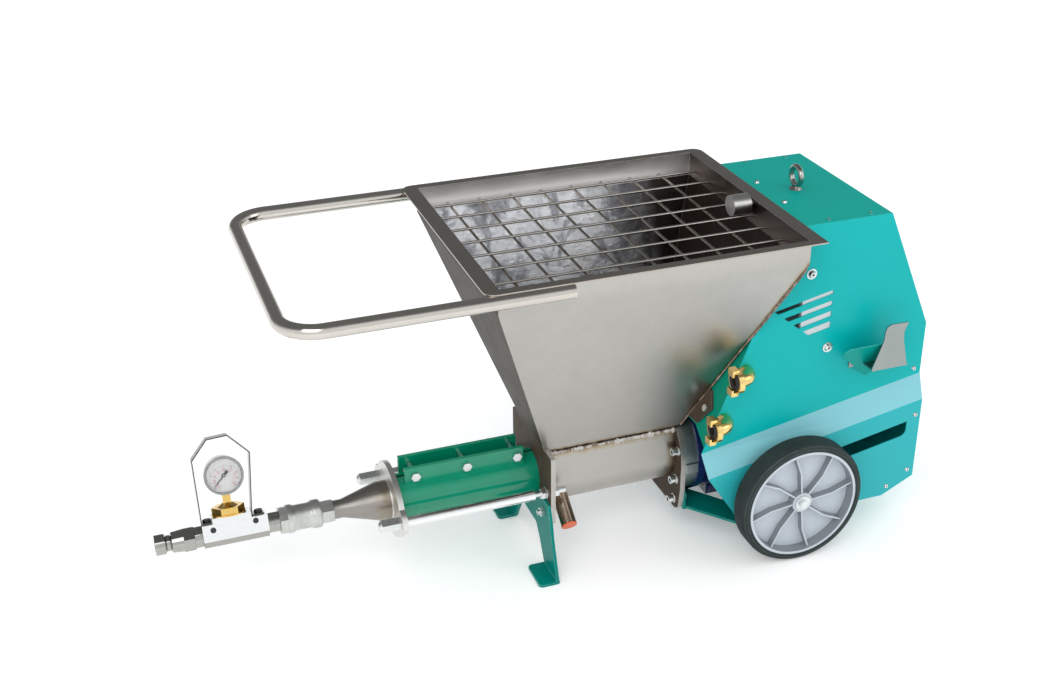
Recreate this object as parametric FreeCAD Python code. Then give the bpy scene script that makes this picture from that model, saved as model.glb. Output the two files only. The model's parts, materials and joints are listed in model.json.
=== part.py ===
"""Grout pump on two wheels: hopper, screw pump, delivery manifold, drive and housing.

Millimetres, +Z up. X runs along the pump line from the delivery end (-X) to the drive (+X).
While modelling, X = 0 is the wheel axle, Y = 0 the pump axis and Z = 0 the ground.
The left side is -Y. Finished pieces are moved along X so that the origin lies below the middle.
"""
import FreeCAD
import Part

import math
import os

V = FreeCAD.Vector
X_DIR = V(1, 0, 0)
Y_DIR = V(0, 1, 0)
Z_DIR = V(0, 0, 1)

# Clearances
RUN_GAP = 0.05            # radial, shaft or pin in its bore
FREE_GAP = 0.3            # between faces that move past each other
HOLE_GAP = 0.3            # radial, bolt in a clearance hole
SPARE = 50.0              # how far trimming tools reach past what they trim
SCREW_DEPTH = 12.0        # how far fastener holes reach behind their seat

# Fastener proportions, as multiples of the shank radius
HEX_FLATS = 3.2
HEX_HEAD_T = 1.25
NUT_T = 1.6
CAP_WASHER_R = 1.9
CAP_WASHER_T = 0.5
CAP_HEAD_R = 1.55
CAP_HEAD_T = 2.4
BUTTON_HEAD = (2.0, 1.2, 1.25)
BOLT_PAST_NUT = 0.8

# Sheet and plate thicknesses
HOPPER_SHEET = 3.0
PANEL_SHEET = 2.0
FRONT_PLATE_T = 9.0
FLANGE_T = 10.0
STAND_T = 6.0
BASE_T = 5.0

# Pump line: heights, radii and the lengths that follow each other towards the delivery end
PUMP_Z = 157.5
FLANGE_REAR_X = -172.0
FLANGE_R = 92.0
TROUGH_LENGTH = 260.0
TROUGH_R = 62.5
TROUGH_TOP_Z = 231.0
STATOR_LENGTH = 268.0
STATOR_R = 45.0
STATOR_WALL = 3.0
OUTLET_T = 10.0
CONE_RIM_LENGTH = 21.0
CONE_LENGTH = 66.0
NECK_LENGTH = 17.0
CONE_RIM_R = 36.0
NECK_R = 17.0
PIPE_WALL = 4.0
UNION_NUT_LENGTH = 22.0
UNION_NUT_FLATS = 39.0
SWIVEL_LENGTH = 75.0
NIPPLE_LENGTH = 21.0
BLOCK_LENGTH = 114.0
JAM_LENGTH = 14.0
CAM_HEX_LENGTH = 19.0
CAM_BODY_LENGTH = 20.0
CAM_GROOVE_LENGTH = 12.0
CAM_TIP_LENGTH = 17.0
CAM_TIP_R = 18.35
PIPE_BORE_R = 12.0
NIPPLE_STEPS = (1.0, 2.0)
CAM_SWELL = 2.0

# Screw pump
ECCENTRICITY = 6.0
ROTOR_R = 17.0
ROTOR_PITCH = 134.0
ROTOR_CLEARANCE = 0.6
DRIVE_SHAFT_R = 17.5
PADDLE_R = 53.0
PADDLE_PLACES = (-318.0, -278.0, -238.0, -200.0)
PADDLE_T = 6.0
PADDLE_WIDTH = 24.0
PADDLE_PITCH_ANGLE = 40
SHAFT_END_X = -342.0
SHAFT_IN_GEAR = 30.0
ROD_R = 7.0
ROD_BALL_R = 9.0
BALL_DEPTH = 11.0
ROTOR_END_GAP = 6.0
ROTOR_HEAD_LENGTH = 22.0
ROTOR_SIDES = 14
STATIONS_PER_TURN = 24
HOLE_OVERRUN = 1.0
HEAD_STEP = 1.0

# Tie rods
TIE_ROD_Y = 82.8
TIE_ROD_R = 6.0
SLEEVE_R = 10.0
ROD_BARE = 12.5           # between the sleeve's end and its nut
ROD_REAR_REACH = 27.0     # past the front plate
ROD_NUT_FLATS = 19.0
ROD_NUT_T = 10.0
ROD_WASHER_R = 12.0
ROD_WASHER_T = 2.5
LONG_NUT_FLATS = 22.0
LONG_NUT_LENGTH = 40.0
LONG_NUT_BORE = 32.0      # depth
LONG_NUT_DOME = 5.0

# Flange bolts, and the tail below the rear flange that carries the base frame
FLANGE_BOLT_R = 5.0
FLANGE_BOLT_INSET = 10.0
FLANGE_BOLT_ANGLES = (20, -26, 160, 206)
BOLT_END_GAP = 5.0
TAIL_HALF = ((91.0, PUMP_Z), (91.0, 107.0), (84.0, 62.0), (70.0, 53.0))
TAIL_BOLT_Y = 67.0
TAIL_BOLT_Z = 74.0

# Outlet flange: an oval from four arcs
OVAL_TIP_Y = 80.0
OVAL_TIP_R = 24.0
OVAL_HALF_HEIGHT = 67.0

# Stator clamp
CLAMP_BAR_Y = 26.0
CLAMP_BAR_T = 8.0
CLAMP_BAR_TOP_Z = 229.0
CLAMP_BOLT_Z = 212.0
CLAMP_BOLT_R = 5.0
CLAMP_END_GAPS = (16.0, 25.0)      # from the outlet flange and from the front plate
CLAMP_BOLT_INSETS = (20.0, 13.3)   # from the ends of the bars
CLAMP_SLIT = 8.0

# Hopper
RIM_FRONT_X = -613.0
RIM_REAR_X = -6.0
RIM_HALF_WIDTH = 252.5
RIM_TOP_Z = 659.5
BAND_FRONT_X = -588.0
BAND_REAR_X = -30.0
BAND_HALF_WIDTH = 237.0
BAND_LOW_Z = 613.5
FOOT_FRONT_X = -447.0
FOOT_REAR_X = -176.0
RIM_CORNER_R = 20.0
FRONT_PLATE_HALF_WIDTH = 106.0
FRONT_PLATE_LOW_Z = 100.0
FRONT_PLATE_TOP_Z = 241.0
PLATE_CORNER_R = 6.0
PLATE_HOLE_INSET = 4.0    # inside the stator casing's bore

# Tabs from the hopper to the front cover: half outline, then the bolt
BRACKET_T = 5.0
BRACKET_OUTLINE = ((60.0, 262.0), (112.0, 263.0), (139.0, 303.0), (117.0, 328.0), (60.0, 328.0))
BRACKET_BOLT_Y = 123.0
BRACKET_BOLT_Z = 298.0

# Safety grid
WIRE_R = 2.5
WIRE_Z = 627.7
WIRE_PITCH_Y = 60.0
WIRE_PITCH_X = 61.5
WIRES_EACH_WAY = 8
STOP_Y = -23.0
STOP_COLLAR_R = 19.0
STOP_COLLAR_LENGTH = 35.0
STOP_PIN_R = 7.0
STOP_STANDOFF = 7.0
STOP_SCREW_R = 3.0
STOP_SCREW_ANGLE = 60
GRID_SHIFT = 5.0          # cross wires, towards the delivery end

# Push handle
HANDLE_R = 12.5
HANDLE_WALL = 2.0
HANDLE_CROSS_X = -926.0
HANDLE_END_X = -463.7
HANDLE_BEND_R = 60.0

# Housing side outline, X and Z
HOUSE_TOP_Z = 654.0
HOUSE_FLOOR_Z = 62.0
HOUSE_TOP_REAR_X = 174.0
HOUSE_REAR_X = 275.5
REAR_BEND_Z = 420.0
REAR_LOW_Z = 94.4
TAIL_REAR_X = 209.0
FRONT_EDGE_LOW_Z = 228.0
FRONT_EDGE_REACH = 2.7    # lower end, in front of the line of the hopper's rear wall
FRONT_EDGE_SETBACK = 3.3  # upper end, behind that line
BELLY_FRONT_X = -95.0
BELLY_BEND_X = -119.6
BELLY_BEND_Z = 103.5
NOSE_X = -171.5
NOSE_Z = 183.0
UPPER_HALF_WIDTH = 167.0
LOWER_HALF_WIDTH = 186.0
BAND_LINE_SLOPE = 0.1825
BAND_LINE_TOP = 264.0     # height of the band's upper bend above the axle
BAND_LINE_LOW = 215.0     # height of the band's lower bend above the axle
LIP_WIDTH = 20.0
TOP_LIP = 26.0
TOP_LIP_INSETS = (12.0, 10.0)
COVER_GAP = 3.0           # from the hopper's rear wall to the front cover
COVER_LOW_Z = 256.5
COVER_CORNER_Z = 235.0
COVER_CORNER_Y = 160.0
COVER_OPENING_Y = 104.0

# Fasteners of the panels: X and Z on the sides, X and inset from the side on the top
SCREW_R = 2.5
UPPER_SCREWS = ((260.4, 325.4),)
LOWER_SCREWS = ((263.8, 233.5), (261.0, 110.6), (217.4, 81.6))
PANEL_BOLTS = ((18.7, 560.5), (65.4, 406.5))
PANEL_BOLT_R = 4.0
PANEL_WASHER_R = 10.0
PANEL_WASHER_T = 1.5
TOP_SCREWS = ((50.0, 12.0), (135.0, 12.0), (19.0, 114.0))

# Air slots above the band, and the long slot below it
VENT_COUNT = 4
VENT_RIGHT_X = 67.5
VENT_TOP_Z = 521.5
VENT_PITCH = 20.7
VENT_HEIGHT = 8.0
VENT_GROWTH = 1.8
VENT_SLOPE = 0.2125
VENT_LEFT = ((-48.8, 495.7), (24.2, 436.5))
LONG_SLOT = (70.0, 247.0)
LONG_SLOT_LOW_Z = 158.3
LONG_SLOT_HEIGHT = 29.5
LONG_SLOT_SLOPE = 0.192
LONG_SLOT_CORNER_R = 14.0

# Lifting eye
EYE_X = 71.0
EYE_SHANK_R = 5.0
EYE_SHANK_LENGTH = 16.0
EYE_RING_R = 17.5
EYE_RING_T = 5.0
EYE_COLLAR_R = 12.0
EYE_COLLAR_T = 6.0
EYE_HEIGHT = 47.6          # of the whole eye above the top panel

# Tool holder: X and Z outlines, and its reach from the side panel
HOLDER_T = 3.0
HOLDER_REACH = 51.0
HOLDER_PLATE = ((163.4, 458.0), (199.7, 457.6), (192.6, 439.4), (193.3, 423.7), (205.8, 370.0),
                (205.8, 368.0), (132.3, 368.0), (132.3, 372.4), (151.3, 426.0), (152.8, 446.5),
                (156.0, 454.0))
HOLDER_STRIP = ((114.0, 208.0), (356.0, 371.0))
HOLDER_SHELF_X = 133.0
SCOOP_LEAN = 0.51         # outwards for each unit of height
SCOOP_LOW_Z = 329.8
SCOOP_OUTLINE = ((153.9, 329.8), (78.0, 401.1), (79.1, 411.3), (86.9, 418.0), (175.0, 418.0),
                 (179.0, 371.0))

# Claw couplings
ELBOW_R = 13.0
ELBOW_REACH = 30.0
ELBOW_BEND_R = 22.0
ELBOW_WALL = 4.0
CLAW_R = 26.0
CLAW_HALF_WIDTH = 9.0
CLAW_LENGTH = 9.0
CLAW_TIP_T = 4.0
CLAW_LIP_R = 13.0
COUPLING_BASE_R = 23.0
COUPLING_BASE_T = 10.0
COUPLING_SEAL_R = 17.5
COUPLING_SEAL_DEPTH = 6.0
COUPLING_SEAL_PROUD = 1.5
COUPLINGS = ((-102.0, -138.0, 389.0), (-140.0, -176.0, 296.0))     # root X, face X, height

# Power inlet on the right side
INLET_X = 200.0
INLET_Z = 370.0
INLET_REACH = 42.0
INLET_R = 26.0
INLET_WALL = 4.0
INLET_FLANGE_HALF = 35.0
INLET_FLANGE_T = 4.0
INLET_FLOOR = 10.0
INLET_PIN_R = 2.4
INLET_PIN_CIRCLE_R = 13.0
INLET_PIN_INSET = 8.0

# Wheels
WHEEL_R = 125.0
TYRE_SEAT_R = 110.0
TYRE_INNER_Y = 195.0
TYRE_WIDTH = 48.0
AXLE_R = 10.0
HUB_R = 22.0
HUB_INNER_Y = 190.0
HUB_OUTER_Y = 236.0
WHEEL_RIBS = 8
RIM_WALL = 5.0
WEB_T = 4.0
RIB_T = 3.0
RIB_INSET = 6.0
RIB_BEND = 5.0
RIB_SWEEP = 20.0
TYRE_SHOULDER = 9.0
SEAT_INSET = 2.0
WHEEL_WASHER_R = 15.0
WHEEL_WASHER_T = 3.0
WHEEL_BOLT_R = 5.0
WHEEL_BOLT_LENGTH = 24.0
SHOULDER_STEP = 2.0

# Delivery manifold, leaning back about the pump axis
MANIFOLD_LEAN = -20.0
BLOCK_HALF_DEPTH = 22.5
BLOCK_LOW = 20.0
BLOCK_SHOULDER = 22.0
BLOCK_CROWN = 32.0
BLOCK_BEVEL = 10.0
BLOCK_BEVEL_RISE = 12.0
CROWN_INSETS = (19.0, 27.5)
GAUGE_PORT_R = 6.0
GAUGE_SHIFT = 6.5
GAUGE_R = 34.5
GAUGE_RISE = 104.0
GAUGE_BACK_Y = 10.0
GAUGE_FACE_Y = -22.0
BEZEL_T = 6.0
BEZEL_WALL = 4.0
CASE_STEP = 2.5
DIAL_RECESS = 5.0
DIAL_T = 1.0
PIVOT_R = 1.5
PIVOT_LENGTH = 1.5
NEEDLE_T = 0.8
NEEDLE_TIP = 25.5
NEEDLE_TAIL = 10.0
NEEDLE_HUB_R = 3.5
NEEDLE_REST = 225
GLASS_T = 1.5
GLASS_INSET = 0.5
SEAL_WASHER_R = 30.0
SEAL_WASHER_T = 2.0
SEAL_BASE_FLATS = 50.0
SEAL_BASE_T = 12.0
SEAL_DOME_R = 19.0
SEAL_DOME_T = 7.0
STEM_R = 7.0
GUARD_HALF_WIDTH = 12.0
GUARD_T = 2.0
GUARD_BOLT_R = 4.0
GUARD_BOLT_INSETS = (11.0, 13.0)
GUARD_RISE = (115.0, 149.0, 150.5, 113.0)           # the strap's four bends above its feet
GUARD_INSETS = (19.0, 30.5, 46.6, 12.0, 24.7, 4.0)   # of its feet and bends, from the block's ends
PLUG_R = 5.0
PLUG_T = 1.5
PLUG_PLACES = ((18.3, 12.0), (-21.4, 14.5))          # from the block's ends, and above the axis
UNION_SEAT_R = 24.0
SWIVEL_R = 26.0
SWIVEL_WAIST_R = 23.0
SWIVEL_HEX = (14.0, 46.0)                            # length and flats
CAM_HEX_FLATS = 41.0
CAM_GROOVE_DEPTH = 4.0

# Front stand
STAND_BOLT_Y = 83.0
STAND_BOLT_Z = 118.0
STAND_BOLT_R = 5.0
STAND_BOLT_PAST = 13.0
STAND_HALF = ((0.0, 150.0), (104.0, 141.0), (114.0, 118.0), (123.0, 80.0), (134.0, 48.0), (152.0, 0.0),
              (84.0, 0.0), (58.0, 45.0), (42.0, 65.0), (36.0, 68.0), (0.0, 68.0))
STAND_CHANNEL = 20.0
STAND_CHANNEL_MARGIN = 15.0
FOOT_REACH = 40.0
FOOT_T = 5.0
FOOT_SPAN_Y = (84.0, 154.0)
FOOT_CORNER_R = 8.0

# Drain
DRAIN_INSET = 29.0          # from the trough's front end
DRAIN_ANGLE = 35          # below the level
DRAIN_R = 15.0
DRAIN_BORE_R = 12.5
DRAIN_REACH = 121.0
DRAIN_CAP_T = 3.0
DRAIN_PLUG = 15.0

# Drive
RING_LENGTH = 25.0
RING_R = 91.0
RING_WALL = 27.0
CLIP_SPAN_Z = (-16.5, 3.5)         # from the pump axis
CLIP_PROUD = 3.0
GEAR_FLANGE_R = 95.0
GEAR_FLANGE_T = 16.0
GEAR_LENGTH = 110.0
GEAR_HALF_WIDTH = 78.0
GEAR_CHAMFER = 24.0
GEAR_FOOT_HALF = 60.0
GEAR_FOOT_INSET = 20.0
MOTOR_R = 70.0
MOTOR_LENGTH = 190.0
FIN_HEIGHT = 10.0
FIN_T = 3.0
FIN_COUNT = 12
FIN_INSET = 12.0
FAN_COVER_LENGTH = 45.0
FAN_COVER_R = 72.0
SEAL_R = 30.0
SEAL_PROUD = 4.0
INVERTER_X = (22.0, 92.0)
INVERTER_Z = (396.0, 580.0)
INVERTER_DEPTH = 120.0
INVERTER_PLATE_T = 8.0
INVERTER_PLATE_REACH = (12.0, 20.0)                  # past the two panel bolts

# Base frame
AXLE_PLATE_X = (-45.0, 60.0)
AXLE_PLATE_T = 6.0
AXLE_PLATE_RISE = 20.0
AXLE_PLATE_TOP = (26.0, 24.0)                        # half width, and height above the axle
AXLE_BOSS_R = 18.0
AXLE_BOSS_LENGTH = 40.0
FRAME_TAB = (88.0, 30.0, 8.0)                        # half width, height and corner of the front tab
FRAME_WINDOW = ((-158.0, 0.0), (-90.0, -88.0), (-66.0, -88.0), (-66.0, 88.0), (-90.0, 88.0))
FRAME_SHOULDER_X = -95.0
FRAME_STEP = 12.0
FRAME_TAIL = 20.0

# Controls on the rear cover
CONTROL_DROP = 110.0      # down the slope from the top edge
CONTROL_SPACING = 75.0
SWITCH_Y = CONTROL_SPACING
STOP_BUTTON_Y = 0.0
SPEED_Y = -CONTROL_SPACING
SPINDLE_R = 5.0
SPINDLE_LENGTH = 15.0
SWITCH_PLATE_T = 12.0
SWITCH_PLATE_HALF = 30.0
SWITCH_CORNER_R = 6.0
SWITCH_DISC_R = 23.0
SWITCH_DISC_T = 6.0
SWITCH_GRIP = (8.0, 14.0)                            # width and height
STOP_TRAVEL = 5.0
STOP_STEM_R = 8.0
STOP_COLLAR_SEAT_R = 24.0
STOP_HEAD_R = 20.0
STOP_HEAD_T = 7.0
STOP_CROWN = (14.0, 5.0)                             # radius at the top, and height
SPEED_SKIRT = (18.0, 4.0)                            # radius and height
SPEED_BODY = (14.0, 12.0, 16.0)                      # radius below, radius above, height
SPEED_MARK = ((2.0, 11.0), 2.0, 0.8)                 # reach, width and depth

# Places along the pump line that follow from the lengths above
TROUGH_REAR_X = FLANGE_REAR_X - FLANGE_T
TROUGH_FRONT_X = TROUGH_REAR_X - TROUGH_LENGTH
DRAIN_X = TROUGH_FRONT_X + DRAIN_INSET
PLATE_FRONT_X = TROUGH_FRONT_X - FRONT_PLATE_T
OUTLET_REAR_X = PLATE_FRONT_X - STATOR_LENGTH
OUTLET_FRONT_X = OUTLET_REAR_X - OUTLET_T
CONE_RIM_X = OUTLET_FRONT_X - CONE_RIM_LENGTH
NECK_X = CONE_RIM_X - CONE_LENGTH
UNION_REAR_X = NECK_X - NECK_LENGTH
UNION_FRONT_X = UNION_REAR_X - UNION_NUT_LENGTH
SWIVEL_FRONT_X = UNION_FRONT_X - SWIVEL_LENGTH
BLOCK_REAR_X = SWIVEL_FRONT_X - NIPPLE_LENGTH
BLOCK_FRONT_X = BLOCK_REAR_X - BLOCK_LENGTH
CAM_HEX_REAR_X = BLOCK_FRONT_X - JAM_LENGTH
CAM_HEX_FRONT_X = CAM_HEX_REAR_X - CAM_HEX_LENGTH
CAM_GROOVE_X = CAM_HEX_FRONT_X - CAM_BODY_LENGTH
CAM_TIP_REAR_X = CAM_GROOVE_X - CAM_GROOVE_LENGTH
TIP_X = CAM_TIP_REAR_X - CAM_TIP_LENGTH
RING_REAR_X = FLANGE_REAR_X + RING_LENGTH
GEAR_REAR_X = RING_REAR_X + GEAR_FLANGE_T + GEAR_LENGTH
MIDDLE_X = (TIP_X + HOUSE_REAR_X) / 2
INNER_HALF_WIDTH = LOWER_HALF_WIDTH - PANEL_SHEET
GAUGE_X = (BLOCK_FRONT_X + BLOCK_REAR_X) / 2 - GAUGE_SHIFT
AXLE_Z = WHEEL_R


def block(x, y, z):
    """A box from three (low, high) pairs."""
    return Part.makeBox(x[1] - x[0], y[1] - y[0], z[1] - z[0], V(x[0], y[0], z[0]))


def bar(start, end, radius, bore=0.0):
    """A round bar or tube between two points."""
    run = end.sub(start)
    solid = Part.makeCylinder(radius, run.Length, start, run)
    if bore > 0:
        solid = solid.cut(Part.makeCylinder(bore, run.Length, start, run))
    return solid


def x_bar(x0, x1, radius, bore=0.0, y=0.0, z=PUMP_Z):
    """A bar along X, on the pump axis unless told otherwise."""
    return bar(V(x0, y, z), V(x1, y, z), radius, bore)


def hexagon(start, end, flats, bore=0.0):
    """A six-sided bar between two points, with two flats level where it lies along X or Y."""
    run = end.sub(start)
    corner_r = flats / math.sqrt(3)
    corners = []
    for step in range(7):
        angle = math.radians(60 * step)
        corners.append(V(corner_r * math.cos(angle), corner_r * math.sin(angle), 0))
    solid = Part.Face(Part.makePolygon(corners)).extrude(V(0, 0, run.Length))
    solid.Placement = FreeCAD.Placement(start, FreeCAD.Rotation(Z_DIR, run))
    if bore > 0:
        solid = solid.cut(Part.makeCylinder(bore, run.Length, start, run))
    return solid


def x_hexagon(x0, x1, flats, bore=0.0, y=0.0, z=PUMP_Z):
    return hexagon(V(x0, y, z), V(x1, y, z), flats, bore)


def turned(profile):
    """A solid turned about the pump axis from (x, radius) points."""
    points = [V(x, 0, PUMP_Z + radius) for x, radius in profile]
    face = Part.Face(Part.makePolygon(points + points[:1]))
    return face.revolve(V(0, 0, PUMP_Z), X_DIR, 360)


def prism(points, plane, low, high):
    """A plate with an outline in the xz, yz or xy plane, from low to high across that plane."""
    if plane == "xz":
        corners = [V(a, low, b) for a, b in points]
        run = V(0, high - low, 0)
    elif plane == "yz":
        corners = [V(low, a, b) for a, b in points]
        run = V(high - low, 0, 0)
    else:
        corners = [V(a, b, low) for a, b in points]
        run = V(0, 0, high - low)
    return Part.Face(Part.makePolygon(corners + corners[:1])).extrude(run)


def crossing(p, q, r, s):
    """Where the line through p and q meets the line through r and s."""
    ax, ay = q[0] - p[0], q[1] - p[1]
    bx, by = s[0] - r[0], s[1] - r[1]
    share = ((r[0] - p[0]) * by - (r[1] - p[1]) * bx) / (ax * by - ay * bx)
    return (p[0] + share * ax, p[1] + share * ay)


def offset(points, distance, closed=False):
    """The outline moved to the left of its run by a distance, with mitred corners."""
    count = len(points)
    moved = []
    for index in range(count if closed else count - 1):
        p, q = points[index], points[(index + 1) % count]
        length = math.hypot(q[0] - p[0], q[1] - p[1])
        nx, ny = (p[1] - q[1]) / length * distance, (q[0] - p[0]) / length * distance
        moved.append(((p[0] + nx, p[1] + ny), (q[0] + nx, q[1] + ny)))
    corners = [crossing(*a, *b) for a, b in zip(moved, moved[1:])]
    if closed:
        return [crossing(*moved[-1], *moved[0])] + corners
    return [moved[0][0]] + corners + [moved[-1][1]]


def bent(points, thickness):
    """The closed outline of a sheet bent along a line of points."""
    return points + offset(points, thickness)[::-1]


def rounded(solid, radius, direction, wanted=lambda point: True):
    """Round the straight edges that lie along a direction and pass the test."""
    chosen = []
    for edge in solid.Edges:
        if not isinstance(edge.Curve, Part.Line):
            continue
        if edge.Curve.Direction.cross(direction).Length > 1e-6:
            continue
        if wanted(edge.CenterOfMass):
            chosen.append(edge)
    return solid.makeFillet(radius, chosen)


def fused(shapes):
    whole = shapes[0].multiFuse(shapes[1:])
    return whole.removeSplitter()


def cut(shape, tools):
    for tool in tools:
        shape = shape.cut(tool)
    return shape


def group(shapes):
    """Separate solids that share a node."""
    return Part.makeCompound([solid for shape in shapes for solid in shape.Solids])


def mirrored(shape):
    return shape.mirror(V(0, 0, 0), Y_DIR)


def both_sides(shape):
    return group([shape, mirrored(shape)])


def bolt(seat, away, shank_r, grip, head="hex"):
    """A bolt whose head rests on the seat and whose shank runs the grip length into it."""
    shank = bar(seat, seat.sub(away * grip), shank_r)
    if head == "hex":
        return shank.fuse(hexagon(seat, seat + away * (HEX_HEAD_T * shank_r), HEX_FLATS * shank_r))
    if head == "cap":
        top = seat + away * (CAP_WASHER_T * shank_r)
        washer = bar(seat, top, CAP_WASHER_R * shank_r)
        cap = bar(top, top + away * (CAP_HEAD_T * shank_r), CAP_HEAD_R * shank_r)
        return fused([shank, washer, cap])
    low_r, high_r, height = (share * shank_r for share in BUTTON_HEAD)
    return shank.fuse(Part.makeCone(low_r, high_r, height, seat, away))


def nut(seat, away, shank_r):
    """A nut resting on the seat, round a shank."""
    return hexagon(seat, seat + away * (NUT_T * shank_r), HEX_FLATS * shank_r, shank_r + RUN_GAP)


def hopper_rear_x(z):
    """The sloping rear wall's outer face at a height."""
    share = (z - TROUGH_TOP_Z) / (BAND_LOW_Z - TROUGH_TOP_Z)
    return FOOT_REAR_X + share * (BAND_REAR_X - FOOT_REAR_X)


def level_corners(x0, x1, half_width, z):
    return [V(x0, -half_width, z), V(x1, -half_width, z), V(x1, half_width, z), V(x0, half_width, z)]


def stacked(levels):
    """A closed block of flat faces through level rectangles, from the lowest up."""
    outlines = [levels[0], levels[-1]]
    for low, high in zip(levels, levels[1:]):
        for index in range(4):
            after = (index + 1) % 4
            outlines.append([low[index], low[after], high[after], high[index]])
    shell = Part.makeShell([Part.Face(Part.makePolygon(line + line[:1])) for line in outlines])
    shell.sewShape()
    solid = Part.makeSolid(shell)
    if solid.Volume < 0:
        solid.reverse()
    return solid


def slant_wall(run, rise):
    """Level thickness of the hopper sheet in a wall that leans."""
    return HOPPER_SHEET * math.hypot(run, rise) / rise


def hopper_block(hollow=False):
    """The hopper as a closed block, or the hollow inside its sheet."""
    rise = BAND_LOW_Z - TROUGH_TOP_Z
    front = slant_wall(FOOT_FRONT_X - BAND_FRONT_X, rise) if hollow else 0
    rear = slant_wall(BAND_REAR_X - FOOT_REAR_X, rise) if hollow else 0
    side = slant_wall(BAND_HALF_WIDTH - TROUGH_R, rise) if hollow else 0
    wall = HOPPER_SHEET if hollow else 0
    foot = level_corners(FOOT_FRONT_X + front, FOOT_REAR_X - rear, TROUGH_R - side, TROUGH_TOP_Z)
    band = (BAND_FRONT_X + wall, BAND_REAR_X - wall, BAND_HALF_WIDTH - wall)
    return stacked([foot, level_corners(*band, BAND_LOW_Z), level_corners(*band, RIM_TOP_Z)])


def hopper():
    """Four sloping walls, the upright band and the rim, sharp only at its left rear corner."""
    rim = block((RIM_FRONT_X, RIM_REAR_X), (-RIM_HALF_WIDTH, RIM_HALF_WIDTH),
                (RIM_TOP_Z - HOPPER_SHEET, RIM_TOP_Z))
    rim = rounded(rim, RIM_CORNER_R, Z_DIR, lambda point: point.x < BAND_FRONT_X or point.y > 0)
    walls = fused([hopper_block(), rim]).cut(hopper_block(hollow=True))
    flange_notch = x_bar(TROUGH_REAR_X, RING_REAR_X, FLANGE_R)
    return cut(walls, [front_plate_blank(), flange_notch])


def drain_axis(distance):
    """A point on the drain's centre line, at a distance from the pump axis."""
    fall = math.radians(DRAIN_ANGLE)
    return V(DRAIN_X, -distance * math.cos(fall), PUMP_Z - distance * math.sin(fall))


def pump_trough():
    """The round-bottomed trough under the hopper, and the drain stub welded into it."""
    inner_r = TROUGH_R - HOPPER_SHEET
    span = (TROUGH_FRONT_X, TROUGH_REAR_X)
    outside = x_bar(*span, TROUGH_R).fuse(block(span, (-TROUGH_R, TROUGH_R), (PUMP_Z, TROUGH_TOP_Z)))
    inside = x_bar(*span, inner_r).fuse(block(span, (-inner_r, inner_r), (PUMP_Z, TROUGH_TOP_Z)))
    drain_start = drain_axis(TROUGH_R - DRAIN_BORE_R)
    drain_hole = bar(drain_start, drain_axis(DRAIN_REACH), DRAIN_BORE_R)
    trough = outside.cut(inside).cut(drain_hole).removeSplitter()
    stub = bar(drain_start, drain_axis(DRAIN_REACH), DRAIN_R, DRAIN_BORE_R)
    return group([trough, stub.cut(x_bar(*span, TROUGH_R))])


def drain_cap():
    lid = bar(drain_axis(DRAIN_REACH), drain_axis(DRAIN_REACH + DRAIN_CAP_T), DRAIN_R)
    plug = bar(drain_axis(DRAIN_REACH - DRAIN_PLUG), drain_axis(DRAIN_REACH), DRAIN_BORE_R - RUN_GAP)
    return lid.fuse(plug)


def front_plate_blank():
    plate = block((PLATE_FRONT_X, TROUGH_FRONT_X), (-FRONT_PLATE_HALF_WIDTH, FRONT_PLATE_HALF_WIDTH),
                  (FRONT_PLATE_LOW_Z, FRONT_PLATE_TOP_Z))
    return rounded(plate, PLATE_CORNER_R, X_DIR)


def front_plate():
    span = (PLATE_FRONT_X, TROUGH_FRONT_X)
    holes = [x_bar(*span, STATOR_R - STATOR_WALL - PLATE_HOLE_INSET)]
    for side in (-1, 1):
        holes.append(x_bar(*span, TIE_ROD_R + HOLE_GAP, y=side * TIE_ROD_Y))
        holes.append(x_bar(*span, STAND_BOLT_R + HOLE_GAP, y=side * STAND_BOLT_Y, z=STAND_BOLT_Z))
    return cut(front_plate_blank(), holes)


def flange_bolt_places():
    """Y and Z of the bolts round the rear flange."""
    reach = FLANGE_R - FLANGE_BOLT_INSET
    places = []
    for angle in FLANGE_BOLT_ANGLES:
        turn = math.radians(angle)
        places.append((reach * math.cos(turn), PUMP_Z + reach * math.sin(turn)))
    return places


def rear_flange():
    span = (TROUGH_REAR_X, FLANGE_REAR_X)
    tail = list(TAIL_HALF) + [(-y, z) for y, z in TAIL_HALF[::-1]]
    plate = fused([x_bar(*span, FLANGE_R), prism(tail, "yz", *span)])
    holes = [x_bar(*span, SEAL_R)]
    for y, z in flange_bolt_places():
        holes.append(x_bar(*span, FLANGE_BOLT_R + HOLE_GAP, y=y, z=z))
    for side in (-1, 1):
        holes.append(x_bar(*span, FLANGE_BOLT_R + HOLE_GAP, y=side * TAIL_BOLT_Y, z=TAIL_BOLT_Z))
    return cut(plate, holes)


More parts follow.
